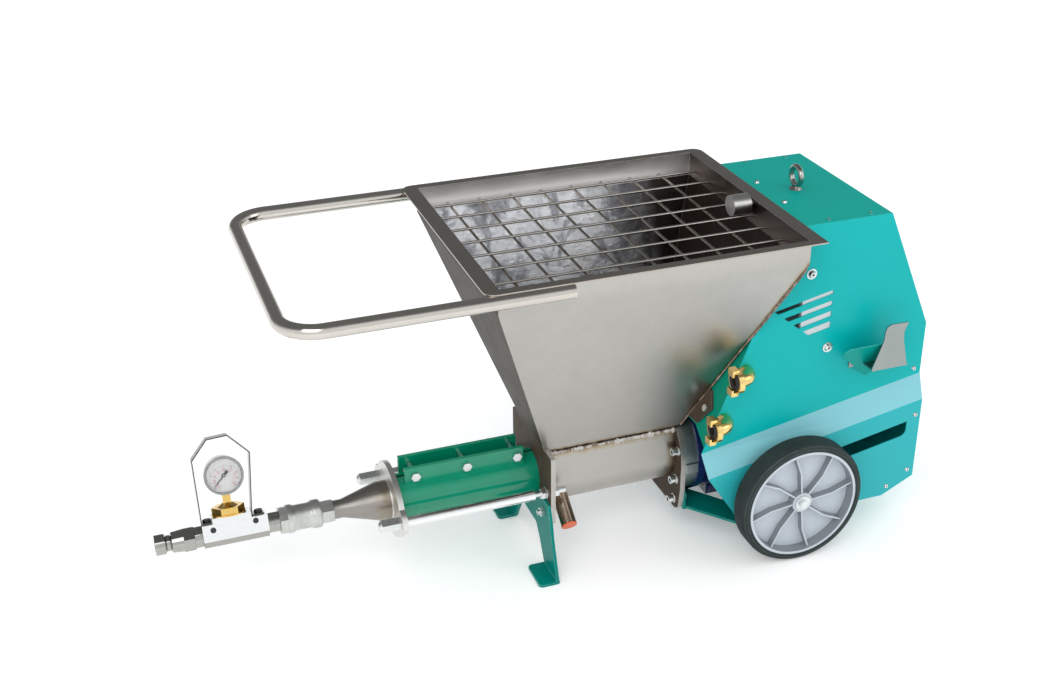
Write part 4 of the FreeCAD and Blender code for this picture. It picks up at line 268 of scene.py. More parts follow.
def fresh_tree(owner):
    """The emptied node tree of a material or world."""
    owner.use_nodes = True
    owner.node_tree.nodes.clear()
    return Tree(owner.node_tree)


def add_object(name, data):
    made = bpy.data.objects.new(name, data)
    bpy.context.scene.collection.objects.link(made)
    return made


def group_tree(name, output, **inputs):
    """A shader node group with its inputs and one output, and what a maker needs to fill it."""
    group = bpy.data.node_groups.new(name, "ShaderNodeTree")
    for title, value in inputs.items():
        kind = "NodeSocketFloat" if isinstance(value, float) else "NodeSocketVector"
        socket = group.interface.new_socket(title.capitalize(), in_out="INPUT", socket_type=kind)
        socket.default_value = value
    group.interface.new_socket(output, in_out="OUTPUT", socket_type="NodeSocketFloat")
    tree = Tree(group)
    return group, tree, tree.add("NodeGroupInput").outputs, tree.add("NodeGroupOutput").inputs[output]


def grain_group():
    """Fine lines along one direction, as left by rolling, drawing or turning."""
    group, tree, given, out = group_tree("Grain", "Value", stretch=(1, 1, 1), scale=400.0)
    place = tree.vector("MULTIPLY", tree.place(), given["Stretch"])
    tree.feed(out, tree.layered(place, given["Scale"], 0.12, (6.0, 0.6), (3.0, 0.5), 0.65))
    return group


def clouds_group():
    """Soft uneven patches of two sizes."""
    group, tree, given, out = group_tree("Clouds", "Value", scale=12.0, contrast=1.0)
    patches = tree.layered(tree.place(), given["Scale"], 5.3, (5.0, 0.6), (4.0, 0.6), 0.7)
    spread = tree.times(tree.math("SUBTRACT", patches, 0.5), given["Contrast"])
    tree.feed(out, tree.math("ADD", spread, 0.5, clamp=True))
    return group


def speckle_group():
    """The fine orange peel of paint or the pebbling of a mould."""
    group, tree, given, out = group_tree("Speckle", "Height", scale=900.0)
    tree.feed(out, tree.layered(tree.place(), given["Scale"], 0.2, (2.0, 0.5), (2.0, 0.5), 0.5))
    return group


def edge_group():
    """Where a piece's rounded edges are worn or bare, broken up by noise."""
    group, tree, given, out = group_tree("Worn edge", "Mask", amount=0.6, scale=60.0)
    rim = tree.add("ShaderNodeAttribute", attribute_name="rim").outputs["Fac"]
    broken = tree.remap(tree.noise(tree.place(), given["Scale"], 6.0, 0.65), 0.38, 0.62)
    mask = tree.times(rim, tree.math("ADD", tree.times(broken, 0.7), 0.3))
    tree.feed(out, tree.math("MULTIPLY", mask, given["Amount"], clamp=True))
    return group


def seam_group():
    """How near a point lies to a weld seam, from 1 on the seam to 0 at the reach."""
    group, tree, given, out = group_tree("Seam heat", "Mask", start=(0, 0, 0), end=(0, 0, 1), reach=0.02)
    point = tree.place()
    run = tree.vector("SUBTRACT", given["End"], given["Start"])
    away = tree.vector("SUBTRACT", point, given["Start"])
    share = tree.math("DIVIDE", tree.vector("DOT_PRODUCT", away, run),
                      tree.vector("DOT_PRODUCT", run, run), clamp=True)
    along = tree.add("ShaderNodeVectorMath", {"Vector": run, "Scale": share}, operation="SCALE")
    nearest = tree.vector("ADD", given["Start"], along.outputs["Vector"])
    distance = tree.vector("DISTANCE", point, nearest)
    uneven = tree.remap(tree.noise(point, 90.0, 4.0, 0.6), 0.2, 0.8, 0.6, 1.4)
    reach = tree.times(given["Reach"], uneven)
    tree.feed(out, tree.math("SUBTRACT", 1.0, tree.math("DIVIDE", distance, reach), clamp=True))
    return group


GROUP_MAKERS = {"Grain": grain_group, "Clouds": clouds_group, "Speckle": speckle_group,
                "Worn edge": edge_group, "Seam heat": seam_group}


def effect(tree, name, **inputs):
    """Place a shared effect in a material, and return its only output."""
    group = bpy.data.node_groups.get(name) or GROUP_MAKERS[name]()
    node = tree.add("ShaderNodeGroup")
    node.node_tree = group
    for title, value in inputs.items():
        tree.feed(node.inputs[title.capitalize()], value)
    return node.outputs[0]


def pattern_maker(name, *titles):
    """What takes the values of an effect and gives a function of the tree."""
    return lambda *values: lambda tree: effect(tree, name, **dict(zip(titles, values)))


clouds = pattern_maker("Clouds", "scale", "contrast")
grain = pattern_maker("Grain", "stretch", "scale")
speckle = pattern_maker("Speckle", "scale")
worn = pattern_maker("Worn edge", "amount", "scale")


def varied(pattern, low, high, start=0.0, end=1.0):
    """A value that goes from low to high where the pattern goes from start to end."""
    return lambda tree: tree.remap(pattern(tree), start, end, low, high)


def two_tone(pattern, dark, light, edge=None, edge_colour=None):
    """Two colours mixed by a pattern, with a third on worn edges."""
    def base(tree):
        mixed = tree.mix(pattern(tree), dark, light)
        return tree.mix(edge(tree), mixed, edge_colour) if edge else mixed
    return base


def finish(name, base, rough, bump=None, bump_size=0.00002, **more):
    """A material with one Principled shader. Base, rough and bump may be functions of the tree."""
    made = bpy.data.materials.new(PREFIX + name)
    tree = fresh_tree(made)
    shader = tree.add("ShaderNodeBsdfPrincipled")
    for title, value in {"Base Color": base, "Roughness": rough, **more}.items():
        tree.feed(shader.inputs[title.replace("_", " ")], value(tree) if callable(value) else value)
    if bump:
        node = tree.add("ShaderNodeBump", {"Strength": 1.0, "Distance": bump_size, "Height": bump(tree)})
        tree.feed(shader.inputs["Normal"], node.outputs["Normal"])
    tree.add("ShaderNodeOutputMaterial", {"Surface": shader.outputs["BSDF"]})
    return made


def shade(colour, factor, lift=0.0):
    return tuple(min(1.0, part * factor + lift) for part in colour)


def tone(colour):
    """A colour as given, or the paint setting of that name, with or without a factor after it."""
    if isinstance(colour, str):
        return tuple(getattr(paint(), colour))
    if isinstance(colour[0], str):
        return shade(tone(colour[0]), colour[1])
    return colour


def powder_coat(name, colour, amount=0.25, bare=None):
    """Satin powder coat with orange peel, slight unevenness and paler edges."""
    colour = tone(colour)
    base = two_tone(clouds(6.0, 1.2), shade(colour, 0.93), shade(colour, 1.07),
                    worn(amount, 45.0), bare or shade(colour, 1.25, 0.10))
    return finish(name, base, varied(clouds(15.0, 1.0), 0.30, 0.42), speckle(700.0), 0.00006,
                  Specular_IOR_Level=0.10)


def side_paint(name):
    """The side panels' coat, light between the two bends."""
    colour = tone("housing")

    def base(tree):
        climb = tree.times(tree.math("SUBTRACT", tree.axis("X"), AXLE.x), BAND_SLOPE)
        level = tree.math("SUBTRACT", tree.axis("Z"), climb)
        lower = tree.mix(tree.math("GREATER_THAN", level, BAND_LOW), tone("side_low"), tone("band"))
        even = tree.mix(clouds(5.0, 1.2)(tree), shade(colour, 0.94), shade(colour, 1.05))
        coat = tree.mix(tree.math("GREATER_THAN", level, BAND_TOP), lower, even)
        return tree.mix(worn(0.35, 45.0)(tree), coat, shade(colour, 1.2, 0.16))

    return finish(name, base, varied(clouds(15.0, 1.0), 0.28, 0.40), speckle(700.0), 0.00006,
                  Specular_IOR_Level=0.22)


# Heat tint beside a weld: the share of the heat, and what it multiplies the steel's colour with.
TINT = ((0.0, (1.0, 1.0, 1.0)), (0.35, (0.95, 0.86, 0.70)), (0.65, (0.62, 0.48, 0.34)),
        (0.85, (0.36, 0.29, 0.27)), (1.0, (0.52, 0.50, 0.50)))


def heated(tree, seams, colour, reach):
    """Steel colour with brown heat tint beside each seam."""
    heat = None
    for start, end in seams:
        mask = effect(tree, "Seam heat", start=tuple(start), end=tuple(end), reach=reach)
        heat = mask if heat is None else tree.math("MAXIMUM", heat, mask)
    return tree.mix(1.0, colour, tree.ramp(heat, TINT), "MULTIPLY")


def sheet_steel(name, colour, stretch, rough=(0.34, 0.46), seams=(), reach=0.014, contrast=1.0,
                depth=0.00003):
    """Cold rolled stainless sheet with fine grain, clouds and heat tint."""
    colour = tone(colour)

    def base(tree):
        plain = tree.mix(clouds(7.0, 1.3 * contrast)(tree), shade(colour, 0.90), shade(colour, 1.08))
        lined = tree.mix(varied(grain(stretch, 260.0), 0.0, 0.35, 0.3, 0.7)(tree), plain,
                         shade(colour, 0.80))
        bared = tree.mix(worn(0.5, 60.0)(tree), lined, shade(colour, 1.35))
        return heated(tree, seams, bared, reach) if seams else bared

    def pattern(tree):
        return tree.math("ADD", grain(stretch, 200.0)(tree), clouds(18.0, 1.5)(tree))

    return finish(name, base, varied(pattern, *rough, 0.6, 1.4), grain(stretch, 300.0), depth, Metallic=1.0)


def hopper_inside(name):
    """Inner walls with painted reflection as bright and dark blotches and streaks, darker towards the rear
    as painted dark reflection.
    """
    def base(tree):
        streaks = tree.vector("MULTIPLY", tree.place(), (1.0, 1.0, 0.45))
        blotches = tree.noise(streaks, 15.0, 7.0, 0.62, Distortion=0.9)
        # Painted reflection: bright and dark blotches.
        painted_reflection = tree.ramp(blotches, ((0.30, (0.08, 0.08, 0.09)), (0.43, (0.40, 0.41, 0.44)),
                                      (0.50, (0.95, 0.96, 1.0)), (0.60, (1.0, 1.0, 1.0))))
        drops = tree.times(clouds(85.0, 3.0)(tree), 0.35)
        spotted = tree.mix(drops, painted_reflection, (0.42, 0.41, 0.42))
        # Painted dark reflection towards the rear.
        rearward = tree.remap(tree.axis("X"), AXLE.x - REAR_DARK_FROM, AXLE.x - REAR_DARK_TO)
        return tree.mix(rearward, spotted, (0.045, 0.036, 0.032))

    return finish(name, base, varied(clouds(34.0, 3.0), 0.22, 0.50), clouds(30.0, 2.0), 0.0012,
                  Metallic=1.0)


def dull_steel(name, colour):
    """Scaled and stained sheet that mirrors little. Where it darkens the hopper's end and rear walls it is
    painted dark reflection, and on the plates' front faces painted shade.
    """
    def base(tree):
        stained = two_tone(clouds(11.0, 2.4), shade(colour, 0.60), shade(colour, 1.45))(tree)
        lines = varied(grain((1.0, 1.0, 0.08), 240.0), 0.0, 0.5, 0.35, 0.7)(tree)
        return tree.mix(worn(0.6, 60.0)(tree), tree.mix(lines, stained, shade(colour, 1.7)),
                        (0.42, 0.40, 0.37))

    return finish(name, base, varied(clouds(24.0, 1.5), 0.35, 0.55), speckle(420.0), 0.00008,
                  Specular_IOR_Level=0.06)


def milled_steel(name):
    """Milled faces with faint cutter lines."""
    stretch = (0.15, 1.0, 1.0)
    return finish(name, two_tone(grain(stretch, 500.0), (0.80, 0.81, 0.81), (0.97, 0.97, 0.96)),
                  varied(grain(stretch, 300.0), 0.16, 0.34, 0.2, 0.8), grain(stretch, 700.0), 0.00002,
                  Metallic=1.0)


def turned_steel(name, colour, rough, depth=0.00003, edge=None, edge_colour=None):
    """Rings left by the lathe on pieces whose axis lies along X."""
    rings = grain((1.0, 0.04, 0.04), 900.0)
    return finish(name, two_tone(rings, shade(colour, 0.78), shade(colour, 1.15), edge, edge_colour),
                  varied(clouds(50.0, 1.5), *rough), rings, depth, Metallic=1.0)


def outlined_steel(name, colour):
    """Polished fittings with painted shade along their rounded edges."""
    return turned_steel(name, colour, (0.06, 0.14), 0.00002, worn(1.0, 80.0), (0.03, 0.03, 0.03))


def cone_steel(name):
    """The outlet cone: turned, browned by the weld at its flange."""
    colour = (0.33, 0.31, 0.29)
    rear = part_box("outlet_cone")[1].x
    seam = [(Vector((rear - 10 * MM, PUMP.y, PUMP.z)), Vector((rear - 10.5 * MM, PUMP.y, PUMP.z)))]
    stretch = (1.0, 0.05, 0.05)

    def base(tree):
        plain = two_tone(grain(stretch, 700.0), shade(colour, 0.85), shade(colour, 1.1))(tree)
        flange = tree.math("GREATER_THAN", tree.axis("X"), rear - CONE_FLANGE)
        return tree.mix(flange, heated(tree, seam, plain, 0.05), (0.74, 0.73, 0.70))

    return finish(name, base, varied(clouds(40.0, 1.6), 0.3, 0.48), grain(stretch, 800.0), 0.00003,
                  Metallic=1.0)


def mottled(name, colour, shades, cloud, rough, rough_cloud, peel, depth, edge=None, edge_shade=(1, 0),
            **more):
    """Two shades of a colour in clouds, on a finely speckled surface."""
    colour = tone(colour)
    base = two_tone(clouds(*cloud), shade(colour, shades[0]), shade(colour, shades[1]), edge,
                    shade(colour, *edge_shade))
    return finish(name, base, varied(clouds(*rough_cloud), *rough), speckle(peel), depth, **more)


def zinc_plate(name):
    """Bright zinc with a faint crystalline patchiness."""
    return mottled(name, "zinc", (0.82, 1.08), (60.0, 1.8), (0.18, 0.36), (90.0, 1.4), 500.0, 0.00004,
                   Metallic=1.0)


def cast_metal(name, colour, rough=(0.32, 0.52)):
    """Sand cast surface with small pits."""
    return mottled(name, colour, (0.72, 1.12), (45.0, 1.8), rough, (70.0, 1.6), 420.0, 0.00025,
                   Metallic=1.0)


def enamel(name, colour):
    """Gloss enamel, brushed on fairly evenly."""
    return mottled(name, colour, (0.85, 1.12), (18.0, 1.4), (0.12, 0.24), (30.0, 1.0), 160.0, 0.00012,
                   worn(0.35, 60.0), (1.3, 0.05), Coat_Weight=0.7, Coat_Roughness=0.09,
                   Specular_IOR_Level=0.3)


def moulded(name, colour, rough=(0.38, 0.50), peel=900.0, depth=0.00006):
    """Moulded plastic or rubber with fine pebbling."""
    return mottled(name, colour, (0.92, 1.08), (22.0, 1.3), rough, (60.0, 1.3), peel, depth)


def tyre_rubber(name):
    """Dusty solid rubber: paler where it has rubbed."""
    return mottled(name, "tyre", (0.75, 1.5), (28.0, 1.8), (0.55, 0.75), (50.0, 1.4), 500.0, 0.00015,
                   worn(0.5, 35.0), (2.6, 0.0), Specular_IOR_Level=0.08)


def scorched_weld(name):
    """Brown and grey weld metal."""
    return finish(name, two_tone(clouds(70.0, 3.2), (0.09, 0.055, 0.035), (0.42, 0.36, 0.31)),
                  varied(clouds(90.0, 2.0), 0.28, 0.60), speckle(600.0), 0.00030, Metallic=1.0)


def weld_slag(name):
    """The whitish crust along the foot seam."""
    return finish(name, two_tone(clouds(95.0, 3.0), (0.46, 0.41, 0.36), (0.92, 0.90, 0.87)),
                  varied(clouds(90.0, 2.0), 0.45, 0.75), clouds(240.0, 2.0), 0.0008, Metallic=0.3)


def clear_glass(name):
    return finish(name, (1.0, 1.0, 1.0), 0.02, IOR=1.45, Transmission_Weight=1.0)


# Each finish: what makes it, and the values that it is given after its name.
FINISHES = {
    "side_paint": (side_paint,),
    "teal": (powder_coat, "housing"),
    # The top's coat, darker than the sides' as painted shade.
    "teal_top": (powder_coat, "housing_top", 0.6, (0.30, 0.70, 0.64)),
    # Darker still: painted shadow on the front stand and the base frame.
    "teal_dark": (powder_coat, ("housing_top", 0.66), 0.7, (0.25, 0.66, 0.60)),
    # The front cover's dark green is painted shade on the front face.
    "cover_green": (powder_coat, (0.0, 0.30, 0.20)),
    "hopper_outside": (sheet_steel, "steel", (2.0, 3.0, 0.3), (0.34, 0.38), REAR_CORNERS + FOOT_SEAMS,
                       0.011, 1.5, 0.000003),
    "hopper_inside": (hopper_inside,),
    "hopper_band": (sheet_steel, (0.80, 0.78, 0.76), (0.06, 1.0, 1.0), (0.3, 0.45)),
    # The end walls and the rear inner wall are darkened as painted dark reflection.
    "hopper_ends": (dull_steel, (0.046, 0.038, 0.027)),
    "hopper_rear": (dull_steel, (0.022, 0.015, 0.012)),
    # Dark brown sheet: painted shade on the plates' front faces, and the colour of the hopper brackets.
    "brown_steel": (dull_steel, (0.070, 0.050, 0.036)),
    "rim_steel": (sheet_steel, (0.44, 0.40, 0.36), (0.06, 1.0, 1.0), (0.16, 0.30)),
    "trough_steel": (sheet_steel, "steel", (0.06, 1.0, 1.0), (0.34, 0.46),
                     [FOOT_SEAMS[0], DRAIN_SEAM, FLANGE_SEAM], 0.02),
    "plate_steel": (sheet_steel, ("steel", 1.05), (1.0, 0.1, 1.0)),
    "drawn_tube": (sheet_steel, (0.64, 0.60, 0.55), (1.0, 0.3, 1.0), (0.08, 0.20)),
    "bright_wire": (sheet_steel, (0.66, 0.62, 0.57), (0.1, 0.1, 1.0), (0.16, 0.28)),
    "shaded_wire": (sheet_steel, (0.30, 0.27, 0.24), (1.0, 0.1, 1.0), (0.2, 0.4)),
    "stub_steel": (sheet_steel, (0.56, 0.44, 0.34), (1.0, 0.3, 0.3), (0.12, 0.2), [DRAIN_SEAM], 0.03),
    "ring_zinc": (sheet_steel, (0.38, 0.42, 0.42), (1.0, 1.0, 0.1), (0.34, 0.46), (), 0.014, 3.0),
    # The rear band, darkened as painted dark reflection.
    "band_rear": (sheet_steel, (0.115, 0.092, 0.080), (0.1, 0.1, 1.0), (0.26, 0.4)),
    "holder_steel": (sheet_steel, (0.34, 0.37, 0.36), (1.0, 1.0, 0.06)),
    "zinc_plate": (zinc_plate,),
    "milled_steel": (milled_steel,),
    "cone_steel": (cone_steel,),
    "turned_steel": (turned_steel, (0.60, 0.59, 0.57), (0.24, 0.42)),
    # Hexagon sockets: dark as painted shade.
    "socket_dark": (turned_steel, (0.13, 0.13, 0.13), (0.3, 0.5)),
    "bright_rod": (turned_steel, (0.99, 1.0, 1.0), (0.16, 0.28)),
    "guard_steel": (turned_steel, (0.13, 0.125, 0.115), (0.08, 0.18)),
    "eye_steel": (turned_steel, (0.42, 0.43, 0.40), (0.12, 0.26)),
    # The guard's top: near-black as painted dark reflection.
    "dark_chrome": (turned_steel, (0.035, 0.032, 0.028), (0.10, 0.2)),
    "bevel_steel": (turned_steel, (0.40, 0.39, 0.37), (0.2, 0.3)),
    "brass_turned": (turned_steel, (0.88, 0.60, 0.19), (0.16, 0.3)),
    "bezel_steel": (outlined_steel, (0.40, 0.40, 0.40)),
    "cam_steel": (outlined_steel, (0.42, 0.42, 0.39)),
    "cast_nickel": (cast_metal, (0.62, 0.63, 0.60)),
    "brass_cast": (cast_metal, "brass", (0.12, 0.26)),
    "stator_green": (enamel, "stator"),
    "navy": (enamel, "motor"),
    "tyre_rubber": (tyre_rubber,),
    "wheel_plastic": (moulded, "wheel", (0.36, 0.50), 700.0, 0.0001),
    # Darker walls of the wheel's recesses and ribs: painted shade.
    "wheel_walls": (moulded, ("wheel", 0.42), (0.36, 0.50), 700.0, 0.0001),
    "black_rubber": (moulded, (0.022, 0.022, 0.024), (0.5, 0.7)),
    "orange_cap": (moulded, "cap", (0.36, 0.46)),
    "dial_white": (moulded, (0.97, 0.95, 0.95), (0.45, 0.55)),
    "ink_black": (moulded, (0.02, 0.02, 0.022), (0.4, 0.5)),
    "ink_red": (moulded, (0.55, 0.02, 0.02), (0.4, 0.5)),
    "box_grey": (moulded, (0.46, 0.48, 0.50)),
    "inverter_case": (moulded, (0.62, 0.66, 0.68)),
    "switch_yellow": (moulded, (0.80, 0.56, 0.03), (0.25, 0.35)),
    "switch_red": (moulded, (0.60, 0.02, 0.015), (0.22, 0.32)),
    "knob_black": (moulded, (0.02, 0.02, 0.022), (0.35, 0.5)),
    "scorched_weld": (scorched_weld,),
    "weld_slag": (weld_slag,),
    "clear_glass": (clear_glass,),
}


def material(name):
    maker, *values = FINISHES[name]
    return bpy.data.materials.get(PREFIX + name) or maker(name, *values)


def settle(name, mesh, finishes, body, slot_name, replaced=(), smooth_angle=32.0):
    """Turn a working mesh into a shown piece on its body."""
    bmesh.ops.recalc_face_normals(mesh, faces=mesh.faces)
    data = bpy.data.meshes.new(name)
    mesh.to_mesh(data)
    mesh.free()
    piece = add_object(name, data)
    for finish_name in finishes:
        data.materials.append(material(finish_name))
    data.shade_smooth()
    data.set_sharp_from_angle(angle=math.radians(smooth_angle))
    weighted = piece.modifiers.new("Flat faces stay flat", "WEIGHTED_NORMAL")
    weighted.keep_sharp = True
    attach(piece, body)
    if replaced:
        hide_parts(*replaced)
    return piece


NODE_BODY = {node: body for body, nodes in frame["record"]["behaviour"]["bodies"].items() for node in nodes}
NODE_SLOT = {part["node"]: part["material_slot"] for part in frame["record"]["subparts"]}


def clean_mesh(node):
    """A working mesh of a CAD node, with its flat faces whole."""
    mesh = bmesh.new()
    mesh.from_mesh(frame["nodes"][node].data)
    bmesh.ops.remove_doubles(mesh, verts=mesh.verts, dist=MERGE_DISTANCE)
    bmesh.ops.dissolve_limit(mesh, angle_limit=FLAT_ANGLE, use_dissolve_boundaries=False,
                             verts=mesh.verts, edges=mesh.edges, delimit=set())
    return mesh


def soften(mesh, width):
    """Round the sharp edges and mark the new faces as rim."""
    layer = mesh.faces.layers.float.new("rim")
    sharp = [edge for edge in mesh.edges
             if len(edge.link_faces) == 2 and edge.calc_face_angle() > SHARP_ANGLE]
    if sharp:
        made = bmesh.ops.bevel(mesh, geom=sharp, offset=width * edges().share, offset_type="OFFSET",
                               profile=0.5, segments=edges().steps, affect="EDGES", clamp_overlap=True)
        for face in made["faces"]:
            face[layer] = 1.0
    mesh.normal_update()
    return mesh


def stand_in(node, mesh, finishes, choose=None, **more):
    """Settle a working mesh in the place of its CAD node, with the finish chosen for each face."""
    if choose:
        sort_faces(mesh, finishes, choose)
    settle(node + "_piece", mesh, finishes, NODE_BODY[node], NODE_SLOT[node], [node], **more)


def sort_faces(mesh, finishes, choose):
    for face in mesh.faces:
        face.material_index = finishes.index(choose(face))


def islands(mesh):
    """The faces of each separate solid in a working mesh, in the same order each run."""
    left = dict.fromkeys(mesh.faces)
    while left:
        front = [left.popitem()[0]]
        found = list(front)
        while front:
            for edge in front.pop().edges:
                for face in edge.link_faces:
                    if face in left:
                        del left[face]
                        front.append(face)
                        found.append(face)
        yield found


def add_sockets(mesh, finish_index, core=None):
    """Cut a hexagon socket into the largest round flat face of each screw, if need be facing off a core."""
    mesh.normal_update()
    for faces in list(islands(mesh)):
        flats = []
        for face in faces:
            centre = face.calc_center_median()
            radii = [(vert.co - centre).length for vert in face.verts]
            if core and face.normal.dot(centre - core) < 0:
                continue
            if len(radii) >= ROUND_CORNERS and max(radii) - min(radii) < ROUND_ERROR * max(radii):
                flats.append((max(radii), face, centre))
        if flats:
            cut_socket(mesh, *max(flats, key=lambda flat: flat[0]), finish_index)
    mesh.normal_update()


def cut_socket(mesh, radius, face, centre, finish_index):
    """Open a round face into a hexagon and give its walls and floor a dark finish as painted shade."""
    normal = face.normal.copy()
    across = normal.orthogonal().normalized()
    along = normal.cross(across)
    size = radius * SOCKET_SHARE
    upper = []
    for step in range(6):
        angle = math.radians(60 * step)
        upper.append(mesh.verts.new(centre + (across * math.cos(angle) + along * math.sin(angle)) * size))
    lower = [mesh.verts.new(vert.co - normal * size) for vert in upper]
    rim = list(face.edges)
    bmesh.ops.delete(mesh, geom=[face], context="FACES_ONLY")
    rim += [mesh.edges.new((first, second)) for first, second in zip(upper, upper[1:] + upper[:1])]
    bmesh.ops.triangle_fill(mesh, edges=rim, use_beauty=True, normal=normal)
    sides = [mesh.faces.new((upper[step], upper[(step + 1) % 6], lower[(step + 1) % 6], lower[step]))
             for step in range(6)]
    for dark in sides + [mesh.faces.new(lower)]:
        dark.material_index = finish_index


def weld_bead(mesh, start, end, radius, seed, rough):
    """A rippled bead along a line, more or less uneven."""
    pitch = welds().ripple
    run = end - start
    count = max(2, round(run.length / (pitch / 4)))
    turn = run.normalized().to_track_quat("Z", "Y").to_matrix()
    rings = []
    for index in range(count + 1):
        place = start + run * (index / count)
        travelled = run.length * index / count
        swell = 1 + 0.14 * math.sin(2 * math.pi * travelled / pitch)
        swell += rough * noise.noise(place * 90 + Vector((seed, 0, 0)))
        swell += rough * 0.6 * noise.noise(place * 330 + Vector((0, seed, 0)))
        ends = min(1.0, 0.35 + min(index, count - index) * 0.25)
        ring = []
        for side in range(BEAD_SIDES):
            angle = 2 * math.pi * side / BEAD_SIDES
            local = Vector((math.cos(angle), math.sin(angle), 0)) * radius * swell * ends
            ring.append(mesh.verts.new(place + turn @ local))
        rings.append(ring)
    for low, high in zip(rings, rings[1:]):
        for side in range(BEAD_SIDES):
            after = (side + 1) % BEAD_SIDES
            mesh.faces.new((low[side], low[after], high[after], high[side]))
    mesh.faces.new(rings[0])
    mesh.faces.new(rings[-1])


def seam_beads(name, seams, finish_name, ends, radius, rough, inward=0.0, drop=0.0):
    """A bead along each seam between two shares of its length. Sizes are in bead radii."""
    bead = welds().bead
    mesh = bmesh.new()
    for index, (start, end) in enumerate(seams):
        side = -1 if start.y > 0 else 1
        offset = Vector((0, side * bead * inward, -bead * drop))
        weld_bead(mesh, start.lerp(end, ends[0]) + offset, start.lerp(end, ends[1]) + offset, bead * radius,
                  index, rough)
    settle(name, mesh, [finish_name], "root", "stainless", smooth_angle=60)


# The dial: its ticks and where they run, in shares of its radius, and widths in millimetres.
DIAL_TICKS = 40
DIAL_START, DIAL_SWEEP = 225, 270
TICK_FROM, LONG_TICK_FROM, TICK_TO = 0.86, 0.80, 0.93
TICK_WIDTH, LONG_TICK_WIDTH, DIGIT_WIDTH = 0.28, 0.5, 0.35
NUMERAL_PLACE, NUMERAL_SIZE = 0.62, 0.085
PRINT_LIFT = 0.12

# The strokes of its digits, as x0, z0, x1, z1.
STROKES = {"a": (-1, 1, 1, 1), "b": (1, 0, 1, 1), "c": (1, -1, 1, 0), "d": (-1, -1, 1, -1),
           "e": (-1, -1, -1, 0), "f": (-1, 0, -1, 1), "g": (-1, 0, 1, 0)}
DIGITS = {"0": "adfebc", "1": "bc", "2": "abged", "4": "fgbc", "6": "afedcg", "8": "agdfebc"}


class BuildPiece(bpy.types.Operator):
    """What the building operators share: CAD nodes with rounded edges in millimetres, and kept ones."""

    bl_options = {"REGISTER", "UNDO"}
    softened_nodes = {}
    kept_nodes = {}

    def execute(self, context):
        for node, (finish_name, width) in self.softened_nodes.items():
            stand_in(node, soften(clean_mesh(node), width * MM), [finish_name])
        for node, finish_name in self.kept_nodes.items():
            slots = frame["nodes"][node].data.materials
            slots.clear()
            slots.append(material(finish_name))
        self.extra()
        return {"FINISHED"}

    def extra(self):
        """More pieces than the rounded copies, where a group has them."""


class GROUTPUMP_OT_hopper(BuildPiece):
    """Build the hopper with its inner and outer finish and its weld beads"""

    bl_idname = "groutpump.hopper"
    bl_label = "Hopper"

    def extra(self):
        mesh = soften(clean_mesh("hopper"), edges().sheet)
        foot = at((FOOT_FRONT + FOOT_REAR) / 2, 0, FOOT_Z)
        mouth = at((KNEE_FRONT + KNEE_REAR) / 2, 0, RIM_TOP_Z - MOUTH_DROP)

        def choose(face):
            place = face.calc_center_median()
            core = foot.lerp(mouth, max(0, min(1, (place.z - foot.z) / (mouth.z - foot.z))))
            inward = Vector((core.x - place.x, -place.y, 0))
            level = Vector((face.normal.x, face.normal.y, 0))
            if place.z > (RIM_TOP_Z - RIM_DEPTH) * MM or level.length < 0.3:
                return "rim_steel"
            # The end walls, the rear inner wall and the rear band get dark finishes as painted dark
            # reflection.
            if level.dot(inward) < 0:
                return "hopper_ends" if abs(face.normal.x) > 0.5 else "hopper_outside"
            if place.z > KNEE_Z * MM:
                return "band_rear" if face.normal.x < -0.5 else "hopper_band"
            return "hopper_rear" if face.normal.x < -0.5 else "hopper_inside"

        stand_in("hopper", mesh, ["hopper_outside", "hopper_inside", "hopper_ends", "hopper_band",
                                  "hopper_rear", "rim_steel", "band_rear"], choose)
        seam_beads("corner_welds", REAR_CORNERS, "scorched_weld", (0.01, 0.98), 1.0, 0.35)
        seam_beads("foot_welds", FOOT_SEAMS, "weld_slag", (0.03, 0.97), 1.9, 0.9, 0.9, 2.0)
        # A dark bead along the foot seams: painted shade in the gap above the slag.
        seam_beads("foot_gaps", FOOT_SEAMS, "hopper_rear", (0.01, 0.99), 0.6, 0.9)


class GROUTPUMP_OT_trough(BuildPiece):
    """Build the pump trough with its plates and drain"""

    bl_idname = "groutpump.trough"
    bl_label = "Trough"
    softened_nodes = {"adaptor_ring": ("ring_zinc", 0.7), "drain_cap": ("orange_cap", 0.8),
                      "shaft_seal": ("black_rubber", 0.4), "drive_shaft": ("turned_steel", 0.4)}
    kept_nodes = {"connecting_rod": "turned_steel", "rotor": "bright_rod", "stator_rubber": "black_rubber"}

    def extra(self):
        for node in ("front_plate", "rear_flange"):
            # Faces turned to the front get the dark brown finish as painted shade.
            stand_in(node, soften(clean_mesh(node), 0.7 * MM), ["plate_steel", "brown_steel"],
                     lambda face: "brown_steel" if face.normal.x < -0.9 else "plate_steel")
        mesh = clean_mesh("frame_bolts")
        add_sockets(mesh, 1)
        stand_in("frame_bolts", soften(mesh, 0.3 * MM), ["zinc_plate", "socket_dark"])

        def choose(face):
            place = face.calc_center_median()
            beyond = math.hypot(place.y, place.z - PUMP.z) > (TROUGH_R + TROUGH_WALL) * MM
            return "stub_steel" if beyond and place.z < PUMP.z else "trough_steel"

        stand_in("pump_trough", soften(clean_mesh("pump_trough"), 0.4 * MM), ["trough_steel", "stub_steel"],
                 choose)


